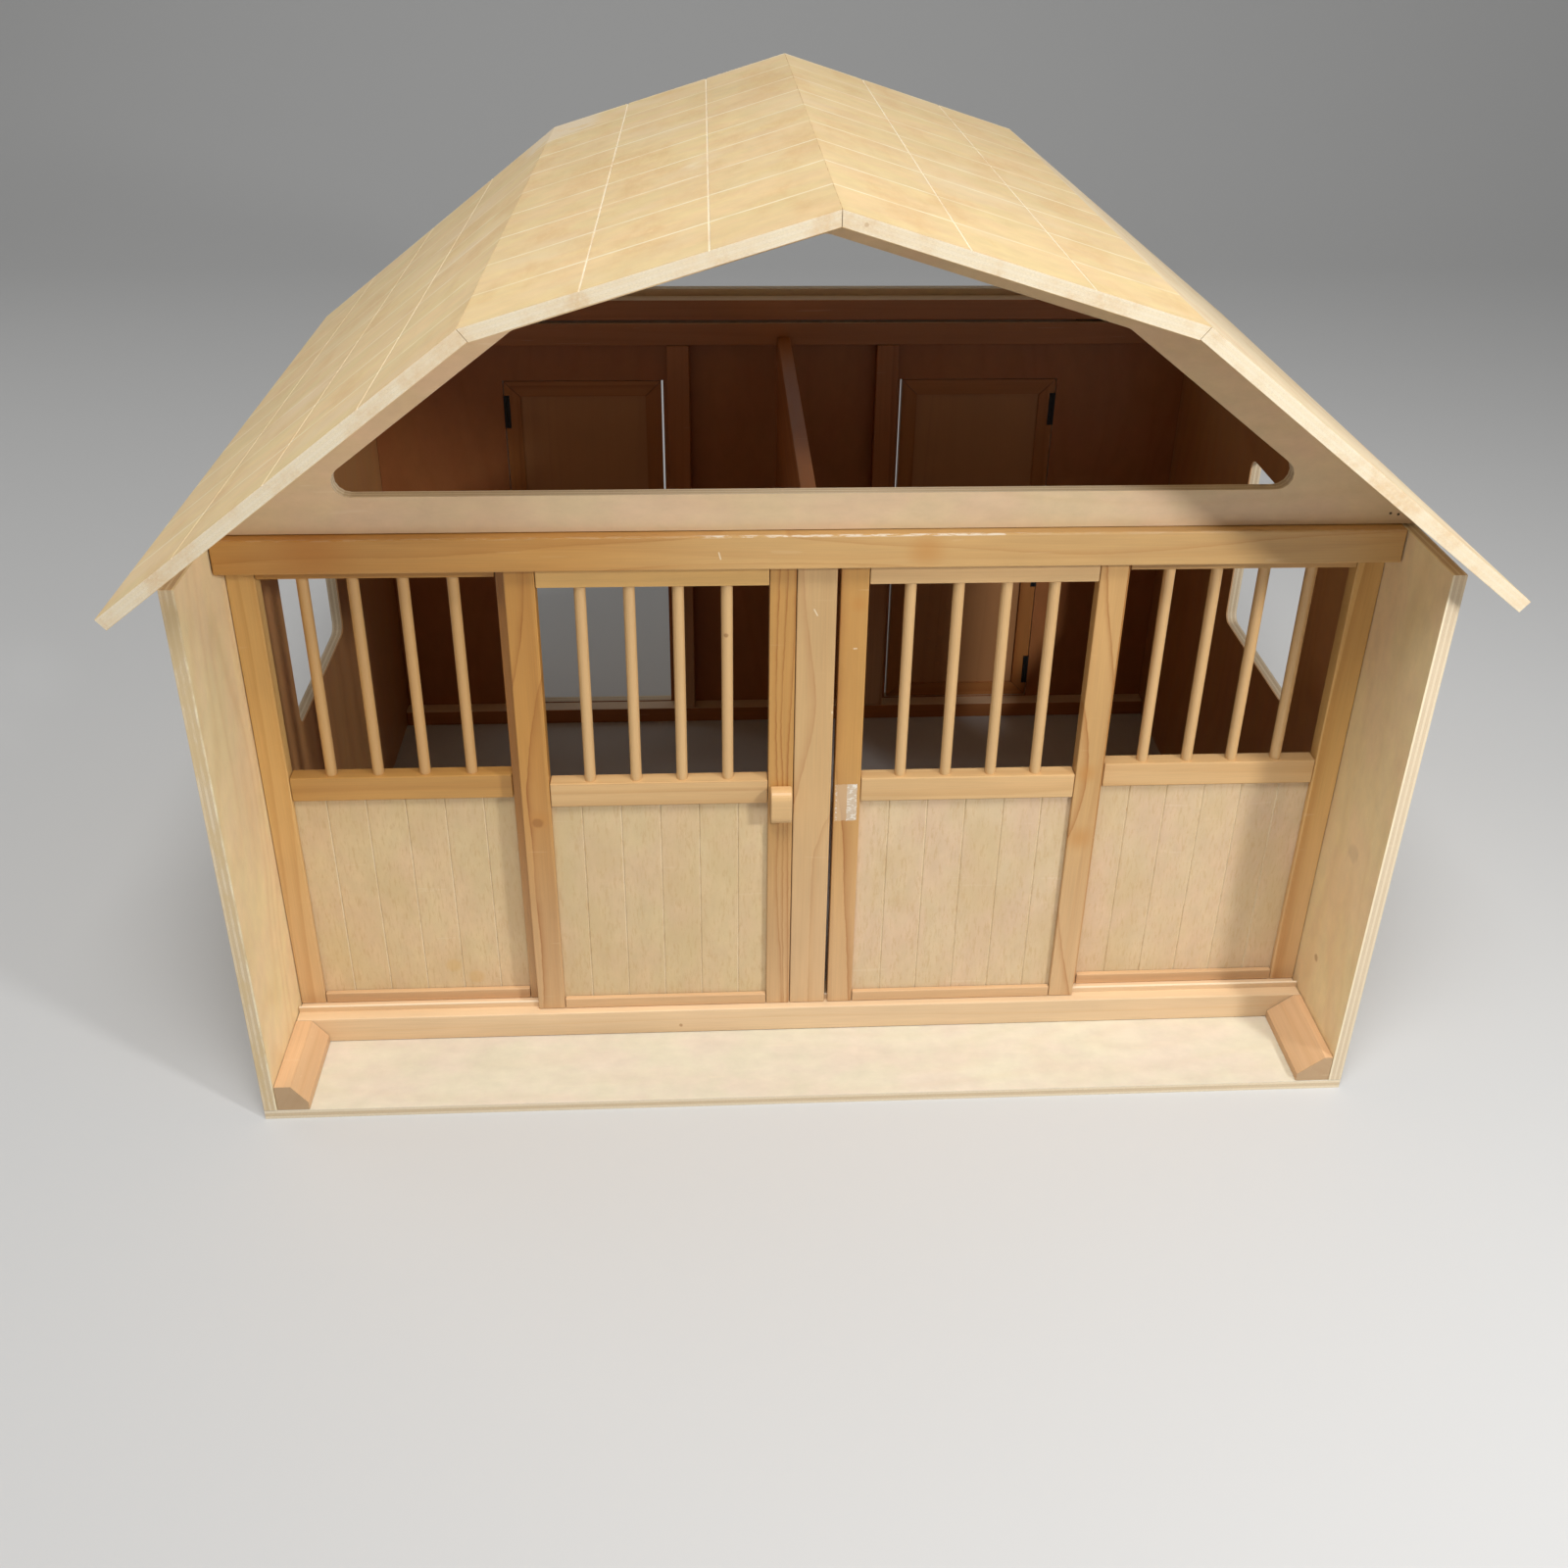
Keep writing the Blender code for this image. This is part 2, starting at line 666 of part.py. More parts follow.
def make_panel(name, x, y, z, visible_width):
    """A thin board with V grooves down its front, as an extruded section."""
    middle = (x[0] + x[1]) / 2
    half = PANEL_GROOVE_WIDTH / 2
    section = [(x[0], y[0])]
    for place in groove_places(visible_width, PANEL_GROOVE_PITCH):
        section += [
            (middle + place - half, y[0]),
            (middle + place, y[0] + PANEL_GROOVE_DEPTH),
            (middle + place + half, y[0]),
        ]
    section += [(x[1], y[0]), (x[1], y[1]), (x[0], y[1])]
    return plate(name, [section], z[1] - z[0], lying((z[0] + z[1]) / 2), PANEL_BOARD)


def make_stall_fronts():
    """The fixed fronts stand on the sill, behind the path of the doors."""
    for side, sign in SIDES.items():
        left, right = sorted((sign * STALL_INNER_X, sign * STALL_OUTER_X))
        make_front(
            f"{side}_stall", left, right, STALL_FRONT_Y, HEADER_FOOT - TOUCH_GAP,
            STALL_TOP_RAIL_HEIGHT,
        )


def make_sliding_doors():
    """Each door stands over the track by a kerf in its foot, with its top in the header's channel.

    The right door stands a little way off the centre post.
    """
    for side, (inner, stiles) in {
        "left": (-DOOR_INNER_X, (LEFT_DOOR_OUTER_STILE_WIDTH, LEFT_DOOR_INNER_STILE_WIDTH)),
        "right": (DOOR_INNER_X + RIGHT_DOOR_AJAR, (STILE_WIDTH, STILE_WIDTH)),
    }.items():
        left, right = sorted((inner, inner + SIDES[side] * DOOR_WIDTH))
        pieces = make_front(
            f"{side}_door", left, right, DOOR_FRONT_Y, HEADER_FOOT + DOOR_TOP_ENTRY,
            DOOR_TOP_RAIL_HEIGHT, stiles,
        )
        travel = STALL_OUTER_X - max(abs(left), abs(right))
        print(f"{side} door travel {travel:.4f} m")
        kerf = cutter(
            f"{side}_door_kerf",
            (left - CUT_OVERRUN, right + CUT_OVERRUN),
            (TRACK_Y - KERF_CLEARANCE, TRACK_Y + TRACK_THICKNESS + KERF_CLEARANCE),
            (FRAME_FOOT - CUT_OVERRUN, SILL_TOP + TRACK_RISE + KERF_CLEARANCE),
        )
        for part in ("left_stile", "right_stile", "bottom_rail"):
            cut(pieces[part], kerf)
        if side == "left":
            pieces["handle"] = make_handle(right)
        slide = axis_empty(f"{side}_door_slide_axis", ((left + right) / 2, DOOR_FRONT_Y, FRAME_FOOT))
        ride(slide, *pieces.values())


def make_handle(door_edge):
    """A small half-round block glued to the door's closing stile."""
    middle_z = FRAME_FOOT + FOOT_RAIL_HEIGHT + PANEL_HEIGHT + HANDLE_DROP
    right = door_edge - HANDLE_EDGE_INSET
    back = DOOR_FRONT_Y - TOUCH_GAP
    low, high = ranges(
        (right - HANDLE_WIDTH, right),
        (back - HANDLE_DEPTH, back),
        (middle_z - HANDLE_HEIGHT / 2, middle_z + HANDLE_HEIGHT / 2),
    )
    bm = bmesh.new()
    bmesh.ops.create_cube(bm, size=1.0, matrix=Matrix.Diagonal((*(high - low), 1.0)))
    front_edges = [
        e for e in bm.edges
        if all(v.co.y < 0 for v in e.verts) and abs(e.verts[0].co.z - e.verts[1].co.z) < TOUCH_GAP
    ]
    bmesh.ops.bevel(
        bm, geom=front_edges, offset=HANDLE_ROUNDING, segments=6, profile=0.5, affect="EDGES"
    )
    handle = mesh_object("left_door_handle", bm, PINE, PARTS, (low + high) / 2)
    ease(handle, EASED_EDGE, segments=1)
    shade_round(handle)
    return handle


# Butt hinges, made about a local Z axis with both plates towards local -Y


def leaf_hinge_matrix(sign, z):
    """Stands a hinge at a doorway's outer edge, its moving plate on the side of the leaf."""
    upright = Matrix.Identity(4) if sign < 0 else Matrix.Rotation(math.pi, 4, "Y")
    return Matrix.Translation((sign * LEAF_HINGE_X, HINGE_Y, z)) @ upright


def lid_hinge_matrix(sign):
    """Lays a hinge along the top of the back wall, its moving plate uppermost."""
    laid = Matrix.Rotation(-math.pi / 2, 4, "Y")
    return Matrix.Translation((sign * LID_HINGE_X, HINGE_Y, LID_HINGE_Z)) @ laid


def hinge_plate(name, moving, place, plate_size, collection):
    """A flat plate whose rear edge has tongues that reach its own knuckles."""
    thickness, depth = plate_size
    clear = HINGE_KNUCKLE_RADIUS + TOUCH_GAP
    root = -clear if moving else -(clear + TOUCH_GAP)
    tip = -(clear + depth)
    half = HINGE_LENGTH / 2
    third = HINGE_LENGTH / 6
    if moving:
        outline = [
            (tip, -half), (0.0, -half), (0.0, -third - TOUCH_GAP), (root, -third - TOUCH_GAP),
            (root, third + TOUCH_GAP), (0.0, third + TOUCH_GAP), (0.0, half), (tip, half),
        ]
    else:
        outline = [
            (tip, -half), (root, -half), (root, -third), (0.0, -third),
            (0.0, third), (root, third), (root, half), (tip, half),
        ]
    across = (TOUCH_GAP + thickness) / 2 * (1 if moving else -1)
    upright = Matrix(((0, 0, 1, across), (1, 0, 0, 0), (0, 1, 0, 0), (0, 0, 0, 1)))
    return plate(name, [outline], thickness, place @ upright, BLACK_PLASTIC, collection)


def leaf_notch(name, place):
    """The notch in a leaf's edge that takes both plates, right through the leaf."""
    half = HINGE_LENGTH / 2 + TOUCH_GAP
    across = (-(HINGE_PLATE + CUT_OVERRUN), HINGE_PLATE + 2 * TOUCH_GAP)
    through = HINGE_KNUCKLE_RADIUS + LEAF_HINGE_PLATE_DEPTH + CUT_OVERRUN
    tool = cutter(name, across, (-through, 0.0), (-half, half))
    tool.matrix_world = place @ Matrix.Translation(tool.location)
    return tool


def fixed_half(name, place, plate_size):
    """The fixed plate, its middle knuckle and the pin, as pieces that are joined to the wall."""
    length = HINGE_LENGTH / 3
    return (
        hinge_plate(f"{name}_plate", False, place, plate_size, CUTTERS),
        rod(f"{name}_knuckle", HINGE_KNUCKLE_RADIUS, length, place, sides=HINGE_SIDES),
        rod(f"{name}_pin", HINGE_PIN_RADIUS, HINGE_LENGTH, place, sides=HINGE_SIDES),
    )


def moving_half(name, place, plate_size):
    """The moving plate with its two outer knuckles, bored for the pin."""
    half = hinge_plate(name, True, place, plate_size, PARTS)
    length = HINGE_LENGTH / 3 - TOUCH_GAP
    for n, direction in enumerate((-1, 1)):
        middle = direction * (HINGE_LENGTH - length) / 2
        at = place @ Matrix.Translation((0.0, 0.0, middle))
        join(half, rod(f"{name}_knuckle_{n}", HINGE_KNUCKLE_RADIUS, length, at, sides=HINGE_SIDES))
    bore_length = HINGE_LENGTH + 2 * CUT_OVERRUN
    cut(half, rod(f"{name}_bore", HINGE_BORE_RADIUS, bore_length, place, sides=HINGE_SIDES))
    return half


# Split back doors


def leaf_levels():
    """Lowest and highest edge of the lower and the upper leaf of a doorway."""
    middle = (DOORWAY_FOOT + DOORWAY_TOP) / 2
    return {
        "lower": (DOORWAY_FOOT + LEAF_SIDE_GAP, middle - LEAF_SPLIT_GAP / 2),
        "upper": (middle + LEAF_SPLIT_GAP / 2, DOORWAY_TOP - LEAF_SIDE_GAP),
    }


def leaf_hinge_heights(low, high):
    inset = LEAF_HINGE_INSET + HINGE_LENGTH / 2
    return {"bottom": low + inset, "top": high - inset}


def make_back_leaf(side, sign, level, low, high):
    """One leaf: a mitred frame round a thinner panel, notched at its outer edge for two hinges."""
    name = f"{side}_back_{level}_leaf"
    outer = sign * (DOORWAY_OUTER - LEAF_SIDE_GAP)
    inner = sign * (DOORWAY_INNER + LATCH_GAP)
    leaf = block(name, (inner, outer), (BACK_WALL_Y, BACK_Y), (low, high), PINE)
    for face, y in (("inner", BACK_WALL_Y), ("outer", BACK_Y)):
        recess = cutter(
            f"{name}_{face}_recess",
            (inner + sign * LEAF_FRAME_WIDTH, outer - sign * LEAF_FRAME_WIDTH),
            (y - LEAF_PANEL_RECESS, y + LEAF_PANEL_RECESS),
            (low + LEAF_FRAME_WIDTH, high - LEAF_FRAME_WIDTH),
        )
        cut(leaf, recess, mitre_cutter(f"{name}_{face}_mitres", inner, outer, low, high, y))
    moving = [leaf]
    for end, z in leaf_hinge_heights(low, high).items():
        place = leaf_hinge_matrix(sign, z)
        cut(leaf, leaf_notch(f"{name}_{end}_notch", place))
        moving.append(moving_half(f"{side}_back_{level}_{end}_hinge", place, LEAF_HINGE))
    axis = axis_empty(f"{name}_axis", (sign * LEAF_HINGE_X, HINGE_Y, (low + high) / 2))
    ride(axis, *moving)
    return axis


def mitre_cutter(name, inner, outer, low, high, y):
    """Four thin strips across the corners of the frame, where its members meet."""
    bm = bmesh.new()
    reach = LEAF_FRAME_WIDTH * math.sqrt(2) + 2 * CUT_OVERRUN
    for x, across in ((inner, outer), (outer, inner)):
        for z, along in ((low, high), (high, low)):
            dx = math.copysign(LEAF_FRAME_WIDTH / 2, across - x)
            dz = math.copysign(LEAF_FRAME_WIDTH / 2, along - z)
            strip = (
                Matrix.Translation((x + dx, y, z + dz))
                @ Matrix.Rotation(-math.atan2(dz, dx), 4, "Y")
                @ Matrix.Diagonal((reach, 2 * MITRE_DEPTH, MITRE_WIDTH, 1.0))
            )
            bmesh.ops.create_cube(bm, size=1.0, matrix=strip)
    return mesh_object(name, bm, None, CUTTERS)


def make_back_leaves():
    """Three leaves are shut and the lower left one is folded right back against the wall."""
    for side, sign in SIDES.items():
        for level, (low, high) in leaf_levels().items():
            axis = make_back_leaf(side, sign, level, low, high)
            if (side, level) == ("left", "lower"):
                axis.rotation_euler.z = math.pi


# Roof lid


def upper_under_z(x):
    """Height of the underside of the upper panels at this distance from the middle."""
    return RIDGE_Z - UPPER_PLUMB - abs(x) * math.tan(UPPER_PITCH)


def lower_under_z(x):
    """Height of the underside of the lower panels at this distance from the middle."""
    return WALL_ROOF_TOP - LOWER_PLUMB + (OUTER_HALF - abs(x)) * math.tan(LOWER_PITCH)


def break_under(drop):
    """Where the two undersides meet, after each is moved inwards, square to itself, by drop."""
    lower = lower_under_z(0.0) - drop / math.cos(LOWER_PITCH)
    upper = upper_under_z(0.0) - drop / math.cos(UPPER_PITCH)
    x = (lower - upper) / (math.tan(LOWER_PITCH) - math.tan(UPPER_PITCH))
    return x, upper - x * math.tan(UPPER_PITCH)


def gable_outline(drop, foot):
    """The gambrel shape inside the roof: its foot, its breaks and its peak, all moved in by drop."""
    break_x, break_z = break_under(drop)
    lower = lower_under_z(0.0) - drop / math.cos(LOWER_PITCH)
    foot_x = (lower - foot) / math.tan(LOWER_PITCH)
    peak = upper_under_z(0.0) - drop / math.cos(UPPER_PITCH)
    return [
        (-foot_x, foot), (foot_x, foot), (break_x, break_z), (0.0, peak), (-break_x, break_z)
    ]


def make_gable(name, front):
    """An open plywood gable: a rim of one width that follows the roof."""
    outline = gable_outline(TOUCH_GAP, LID_FOOT)
    hole = rounded(gable_outline(GABLE_RIM, LID_FOOT + GABLE_RIM), GABLE_CORNER_RADIUS)
    return plate(name, [outline, hole], ROOF_PLY, standing(front + ROOF_PLY / 2), PLYWOOD)


def grooves_along(start, end, groove_count):
    """V grooves across a sloping edge from start to end, spaced from its upper end."""
    start, end = Vector(start), Vector(end)
    way = (end - start).normalized()
    inward = Vector((way.y, -way.x))
    if inward.y > 0:
        inward = -inward
    points = []
    for n in range(1, groove_count + 1):
        middle = start + way * ROOF_GROOVE_PITCH * n
        points += [
            tuple(middle - way * ROOF_GROOVE_WIDTH / 2),
            tuple(middle + inward * ROOF_GROOVE_DEPTH),
            tuple(middle + way * ROOF_GROOVE_WIDTH / 2),
        ]
    return points


def roof_sections(sign):
    """Sections of the upper and the lower panel of one side, from the ridge outwards."""
    square = Vector((math.sin(LOWER_PITCH), math.cos(LOWER_PITCH)))
    down = Vector((math.cos(LOWER_PITCH), -math.sin(LOWER_PITCH)))
    top_break = Vector((BREAK_X, BREAK_Z))
    reach = UPPER_PLUMB / (
        math.cos(LOWER_PITCH) + math.sin(LOWER_PITCH) * math.tan(UPPER_PITCH)
    )
    ridge_x = TOUCH_GAP / 2
    ridge_z = RIDGE_Z - ridge_x * math.tan(UPPER_PITCH)
    upper_count = int(BREAK_X / math.cos(UPPER_PITCH) / ROOF_GROOVE_PITCH)
    upper_end = (BREAK_X, BREAK_Z)
    upper = [(ridge_x, ridge_z)]
    upper += grooves_along((ridge_x, ridge_z), upper_end, upper_count)
    upper += [upper_end, tuple(top_break - square * reach), (ridge_x, ridge_z - UPPER_PLUMB)]
    head = top_break + down * TOUCH_GAP
    eave = Vector((EAVE_X, EAVE_Z))
    lower_count = int((eave - head).length / ROOF_GROOVE_PITCH)
    lower = [tuple(head)] + grooves_along(tuple(head), tuple(eave), lower_count)
    lower += [tuple(eave), tuple(eave - square * ROOF_PLY), tuple(head - square * ROOF_PLY)]
    return [[(sign * x, z) for x, z in section] for section in (upper, lower)]


def make_roof():
    """Four grooved panels on two gables, hinged as one lid at the top of the back wall."""
    rear_front_y = BACK_Y - ROOF_PLY
    lid = [
        make_gable("front_gable", FRONT_Y + GABLE_SETBACK),
        make_gable("rear_gable", rear_front_y),
    ]
    batten_back = rear_front_y - TOUCH_GAP
    batten_half = gable_outline(GABLE_RIM, LID_FOOT + GABLE_RIM)[1][0]
    batten = block(
        "rear_gable_batten",
        (-batten_half, batten_half),
        (batten_back - BATTEN_THICKNESS, batten_back),
        (LID_FOOT, LID_FOOT + GABLE_BATTEN_HEIGHT),
        PINE, EASED_EDGE,
    )
    lid.append(batten)
    middle = (BACK_Y + REAR_OVERHANG + FRONT_Y - FRONT_OVERHANG) / 2
    for side, sign in SIDES.items():
        upper, lower = roof_sections(sign)
        lid.append(plate(f"roof_upper_{side}", [upper], ROOF_LENGTH, standing(middle), PLYWOOD))
        lid.append(plate(f"roof_lower_{side}", [lower], ROOF_LENGTH, standing(middle), PLYWOOD))
        lid.append(moving_half(f"{side}_lid_hinge", lid_hinge_matrix(sign), LID_HINGE))
    ride(axis_empty("roof_lid_axis", (0.0, HINGE_Y, LID_HINGE_Z)), *lid)


make_base()
make_side_walls()
make_back_wall()
make_partition()
make_header()
make_stall_fronts()
make_sliding_doors()
make_back_leaves()
make_roof()

print(f"slide axes at y {DOOR_FRONT_Y:.4f}, z {FRAME_FOOT:.4f}")
print(f"leaf hinge axes at x {LEAF_HINGE_X:.5f}, y {HINGE_Y:.5f}")
print(f"lid hinge axis at y {HINGE_Y:.5f}, z {LID_HINGE_Z:.5f}")
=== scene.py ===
# %% [markdown]
# # A wooden toy horse stable, dressed for a photograph
#
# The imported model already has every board, bar and hinge at its real size. This lesson gives
# those pieces their looks: sawn pine with growth lines, plywood whose layers show wherever it
# is cut, black hinges, and the small traces that years of play and a glue bottle leave.
# Wood is a solid, so its grain is written as a solid pattern in metres. A cut edge then shows
# the layers or the rings that lie inside it, and nothing has to be unwrapped or painted.

import math

import bmesh
import bpy
from mathutils import Matrix, Vector


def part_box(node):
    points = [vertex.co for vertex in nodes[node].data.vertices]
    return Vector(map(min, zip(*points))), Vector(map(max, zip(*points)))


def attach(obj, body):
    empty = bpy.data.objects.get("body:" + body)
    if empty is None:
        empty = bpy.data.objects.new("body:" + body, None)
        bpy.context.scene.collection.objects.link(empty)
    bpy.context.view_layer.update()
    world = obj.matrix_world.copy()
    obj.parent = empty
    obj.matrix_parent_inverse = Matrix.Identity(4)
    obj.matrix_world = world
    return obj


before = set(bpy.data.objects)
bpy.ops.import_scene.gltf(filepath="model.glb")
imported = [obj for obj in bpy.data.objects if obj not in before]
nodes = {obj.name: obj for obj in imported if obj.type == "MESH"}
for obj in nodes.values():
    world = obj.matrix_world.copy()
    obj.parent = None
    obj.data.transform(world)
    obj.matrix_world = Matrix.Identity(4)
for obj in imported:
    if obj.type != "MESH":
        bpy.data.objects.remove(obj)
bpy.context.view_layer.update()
scene = bpy.context.scene

# %% [markdown]
# The photograph was taken by hand with a phone, from in front and above, a little left of the
# middle. The camera's place and turn were found by least squares from the corners of the
# stable. The picture is a crop whose middle is below the lens axis, so the frame is shifted.

# %% Camera
IMAGE_PIXELS = 1600
FOCAL_PIXELS = 1501.47
SENSOR_MM = 36.0
AXIS_ABOVE_MIDDLE = 200

camera_data = bpy.data.cameras.new("photographer")
camera_data.sensor_width = SENSOR_MM
camera_data.lens = FOCAL_PIXELS * SENSOR_MM / IMAGE_PIXELS
camera_data.shift_y = -AXIS_ABOVE_MIDDLE / IMAGE_PIXELS
camera = bpy.data.objects.new("photographer", camera_data)
scene.collection.objects.link(camera)
yaw, pitch, roll = 0.05677, 0.47616, 0.0143
camera.matrix_world = (
    Matrix.Translation((-0.05506, -0.8225, 0.64756))
    @ Matrix.Rotation(-yaw, 4, "Z")
    @ Matrix.Rotation(math.pi / 2 - pitch, 4, "X")
    @ Matrix.Rotation(roll, 4, "Z")
)
scene.camera = camera
print("camera", tuple(round(c, 3) for c in camera.location), f"lens {camera_data.lens:.2f} mm")

# %% [markdown]
# The studio is a pale floor that curves up into a pale wall, so that there is no horizon.
# The curve is one strip, extruded along its profile with bmesh, and it belongs to the stage
# and not to the toy.

# %% Floor and backdrop
WIDE = 7.0
PROFILE = [(-3.0, 0.0), (1.6, 0.0)]
PROFILE += [
    (1.6 + 1.1 * math.sin(a), 1.1 - 1.1 * math.cos(a))
    for a in [math.radians(d) for d in range(10, 91, 10)]
]
PROFILE += [(2.7, 4.0)]


def draw_out(name, bm, extruded, way, smooth=False):
    """Moves what was just extruded, and makes an object of the whole mesh."""
    moved = [g for g in extruded["geom"] if isinstance(g, bmesh.types.BMVert)]
    bmesh.ops.translate(bm, verts=moved, vec=way)
    bmesh.ops.recalc_face_normals(bm, faces=bm.faces)
    for face in bm.faces:
        face.smooth = smooth
    mesh = bpy.data.meshes.new(name)
    bm.to_mesh(mesh)
    bm.free()
    made = bpy.data.objects.new(name, mesh)
    scene.collection.objects.link(made)
    return made


def make_sweep():
    bm = bmesh.new()
    line = [bm.verts.new((-WIDE / 2, y, z)) for y, z in PROFILE]
    edges = [bm.edges.new(pair) for pair in zip(line, line[1:])]
    extruded = bmesh.ops.extrude_edge_only(bm, edges=edges)
    return draw_out("studio_sweep", bm, extruded, (WIDE, 0, 0), smooth=True)


sweep = make_sweep()
paper = bpy.data.materials.new("studio_paper")
paper.use_nodes = True
paper_shader = paper.node_tree.nodes["Principled BSDF"]
paper_shader.inputs["Base Color"].default_value = (0.58, 0.58, 0.575, 1)
paper_shader.inputs["Roughness"].default_value = 0.9
paper_shader.inputs["Specular IOR Level"].default_value = 0.2
sweep.data.materials.append(paper)
print("sweep", len(sweep.data.polygons), "faces")

# %% [markdown]
# Two lights made the photograph. A small lamp stands low on the right: the front edge of the
# right wall throws its shadow across the right stall's panel, and fitting rays to that shadow
# and to the roof's gave the lamp's place. A wide soft one hangs above and in front, which
# lights the roof and leaves the inside dark. A weak third lamp far on the left and the world
# fill the shadows. Together they are level enough that a colour renders about as it is written.

# %% Light
def area_lamp(name, place, target, size, watts):
    lamp = bpy.data.lights.new(name, "AREA")
    lamp.shape = "DISK"
    lamp.size = size
    lamp.energy = watts
    holder = bpy.data.objects.new(name, lamp)
    scene.collection.objects.link(holder)
    holder.location = place
    way = Vector(target) - Vector(place)
    holder.rotation_euler = way.to_track_quat("-Z", "Y").to_euler()


area_lamp("right_lamp", (0.76, -0.87, 0.76), (0, -0.15, 0.2), 0.12, 6.6)
area_lamp("ceiling_lamp", (-0.05, -0.9, 2.02), (0, 0, 0.25), 0.9, 31.5)
area_lamp("left_lamp", (-1.9, 0.6, 1.1), (0, 0, 0.2), 1.2, 4)

world = bpy.data.worlds.new("studio_air")
scene.world = world
world.use_nodes = True
world.node_tree.nodes["Background"].inputs["Color"].default_value = (1, 1, 1, 1)
world.node_tree.nodes["Background"].inputs["Strength"].default_value = 0.24
scene.view_settings.view_transform = "Standard"

# %% [markdown]
# Most effects here are used by many finishes, so each is a node group: a small machine with
# named inputs and outputs. The first helper lays nodes and wires them, with a short name for
# each common sum, and the second makes an empty group. They keep the recipes below short.

# %% Helpers for node groups
class Net:
    """Lays nodes in one tree and wires them. A value is a number, a tuple or an output socket."""

    def __init__(self, tree):
        self.tree = tree

    def put(self, kind, wires=None, **settings):
        node = self.tree.nodes.new(kind)
        for key, value in settings.items():
            setattr(node, key, value)
        for key, value in (wires or {}).items():
            self.feed(node.inputs[key], value)
        return node

    def feed(self, socket, value):
        """Wires a socket, or sets it. A colour may be given as three numbers."""
        if isinstance(value, bpy.types.NodeSocket):
            self.tree.links.new(value, socket)
        elif socket.type == "RGBA":
            socket.default_value = (*value[:3], 1)
        else:
            socket.default_value = value

    def math(self, operation, *values, clamp=False):
        node = self.put("ShaderNodeMath", operation=operation, use_clamp=clamp)
        for n, value in enumerate(values):
            self.feed(node.inputs[n], value)
        return node.outputs[0]

    def times(self, first, *others, clamp=False):
        """The product of any number of values."""
        for other in others:
            first = self.math("MULTIPLY", first, other, clamp=clamp)
        return first

    def minus(self, value, less):
        return self.math("SUBTRACT", value, less)

    def scaled(self, value, scale, plus):
        return self.math("MULTIPLY_ADD", value, scale, plus)

    def most(self, first, second):
        return self.math("MAXIMUM", first, second)

    def over(self, value, limit):
        return self.math("GREATER_THAN", value, limit)

    def under(self, value, limit):
        return self.math("LESS_THAN", value, limit)

    def vector(self, operation, *values):
        node = self.put("ShaderNodeVectorMath", operation=operation)
        for n, value in enumerate(values):
            self.feed(node.inputs[n], value)
        return node.outputs["Value" if operation in ("LENGTH", "DOT_PRODUCT") else "Vector"]

    def noise(self, vector, stretch=None, scale=1.0, detail=2.0, rough=0.5, output="Fac"):
        """Noise over a place, which is first multiplied by the stretch if there is one."""
        if stretch:
            vector = self.vector("MULTIPLY", vector, stretch)
        node = self.put(
            "ShaderNodeTexNoise",
            {"Vector": vector, "Scale": scale, "Detail": detail, "Roughness": rough},
        )
        return node.outputs[output]

    def between(self, value, low, high, to_low=0.0, to_high=1.0, kind="SMOOTHSTEP"):
        node = self.put("ShaderNodeMapRange", interpolation_type=kind)
        self.feed(node.inputs["Value"], value)
        ends = {"From Min": low, "From Max": high, "To Min": to_low, "To Max": to_high}
        for key, number in ends.items():
            self.feed(node.inputs[key], number)
        return node.outputs["Result"]

    def mix(self, factor, first, second, blend="MIX"):
        node = self.put("ShaderNodeMix", data_type="RGBA", blend_type=blend)
        self.feed(node.inputs["Factor"], factor)
        self.feed(node.inputs[6], first)
        self.feed(node.inputs[7], second)
        return node.outputs[2]

    def place_in(self, place, turn, move):
        """The same point, turned and moved into the axes of one piece of wood."""
        wires = {"Vector": place, "Rotation": turn, "Location": move}
        return self.put("ShaderNodeMapping", wires).outputs["Vector"]

    def either(self, factor, first, second):
        """The second place where the factor is 1, and else the first."""
        node = self.put("ShaderNodeMix", data_type="VECTOR")
        self.feed(node.inputs["Factor"], factor)
        self.feed(node.inputs[4], first)
        self.feed(node.inputs[5], second)
        return node.outputs[1]

    def tint(self, colour, mask, share, paint):
        """Paint over a colour where the mask is, as strongly as the share says."""
        return self.mix(self.times(mask, share), colour, paint)

    def shade(self, colour, tone):
        """A colour made lighter or darker as a whole."""
        return self.mix(1.0, colour, self.join(tone, tone, tone), "MULTIPLY")

    def split(self, vector):
        node = self.put("ShaderNodeSeparateXYZ", {"Vector": vector})
        return node.outputs["X"], node.outputs["Y"], node.outputs["Z"]

    def join(self, x, y, z):
        return self.put("ShaderNodeCombineXYZ", {"X": x, "Y": y, "Z": z}).outputs["Vector"]


NUMBER, COLOUR, PLACE = "NodeSocketFloat", "NodeSocketColor", "NodeSocketVector"


def new_group(name, inputs, outputs):
    """A shader group with these sockets. Returns its net, its inputs and its output node."""
    tree = bpy.data.node_groups.new(name, "ShaderNodeTree")
    for way, sockets in (("INPUT", inputs), ("OUTPUT", outputs)):
        for label, kind in sockets.items():
            tree.interface.new_socket(label, in_out=way, socket_type=kind)
    net = Net(tree)
    source = net.put("NodeGroupInput")
    return net, source.outputs, net.put("NodeGroupOutput")


print("helpers ready")

# %% [markdown]
# Sawn pine. A tree adds a pale band in spring and a thin hard orange one in late summer, so
# a board shows nested lines along its length and arcs on its ends. The group measures how far
# a point lies from the heart of the log, bends that distance with slow noise, and cuts it
# into rings. Z runs along the grain. Each finish moves and turns the point first, so that
# every stick comes from its own part of the log.

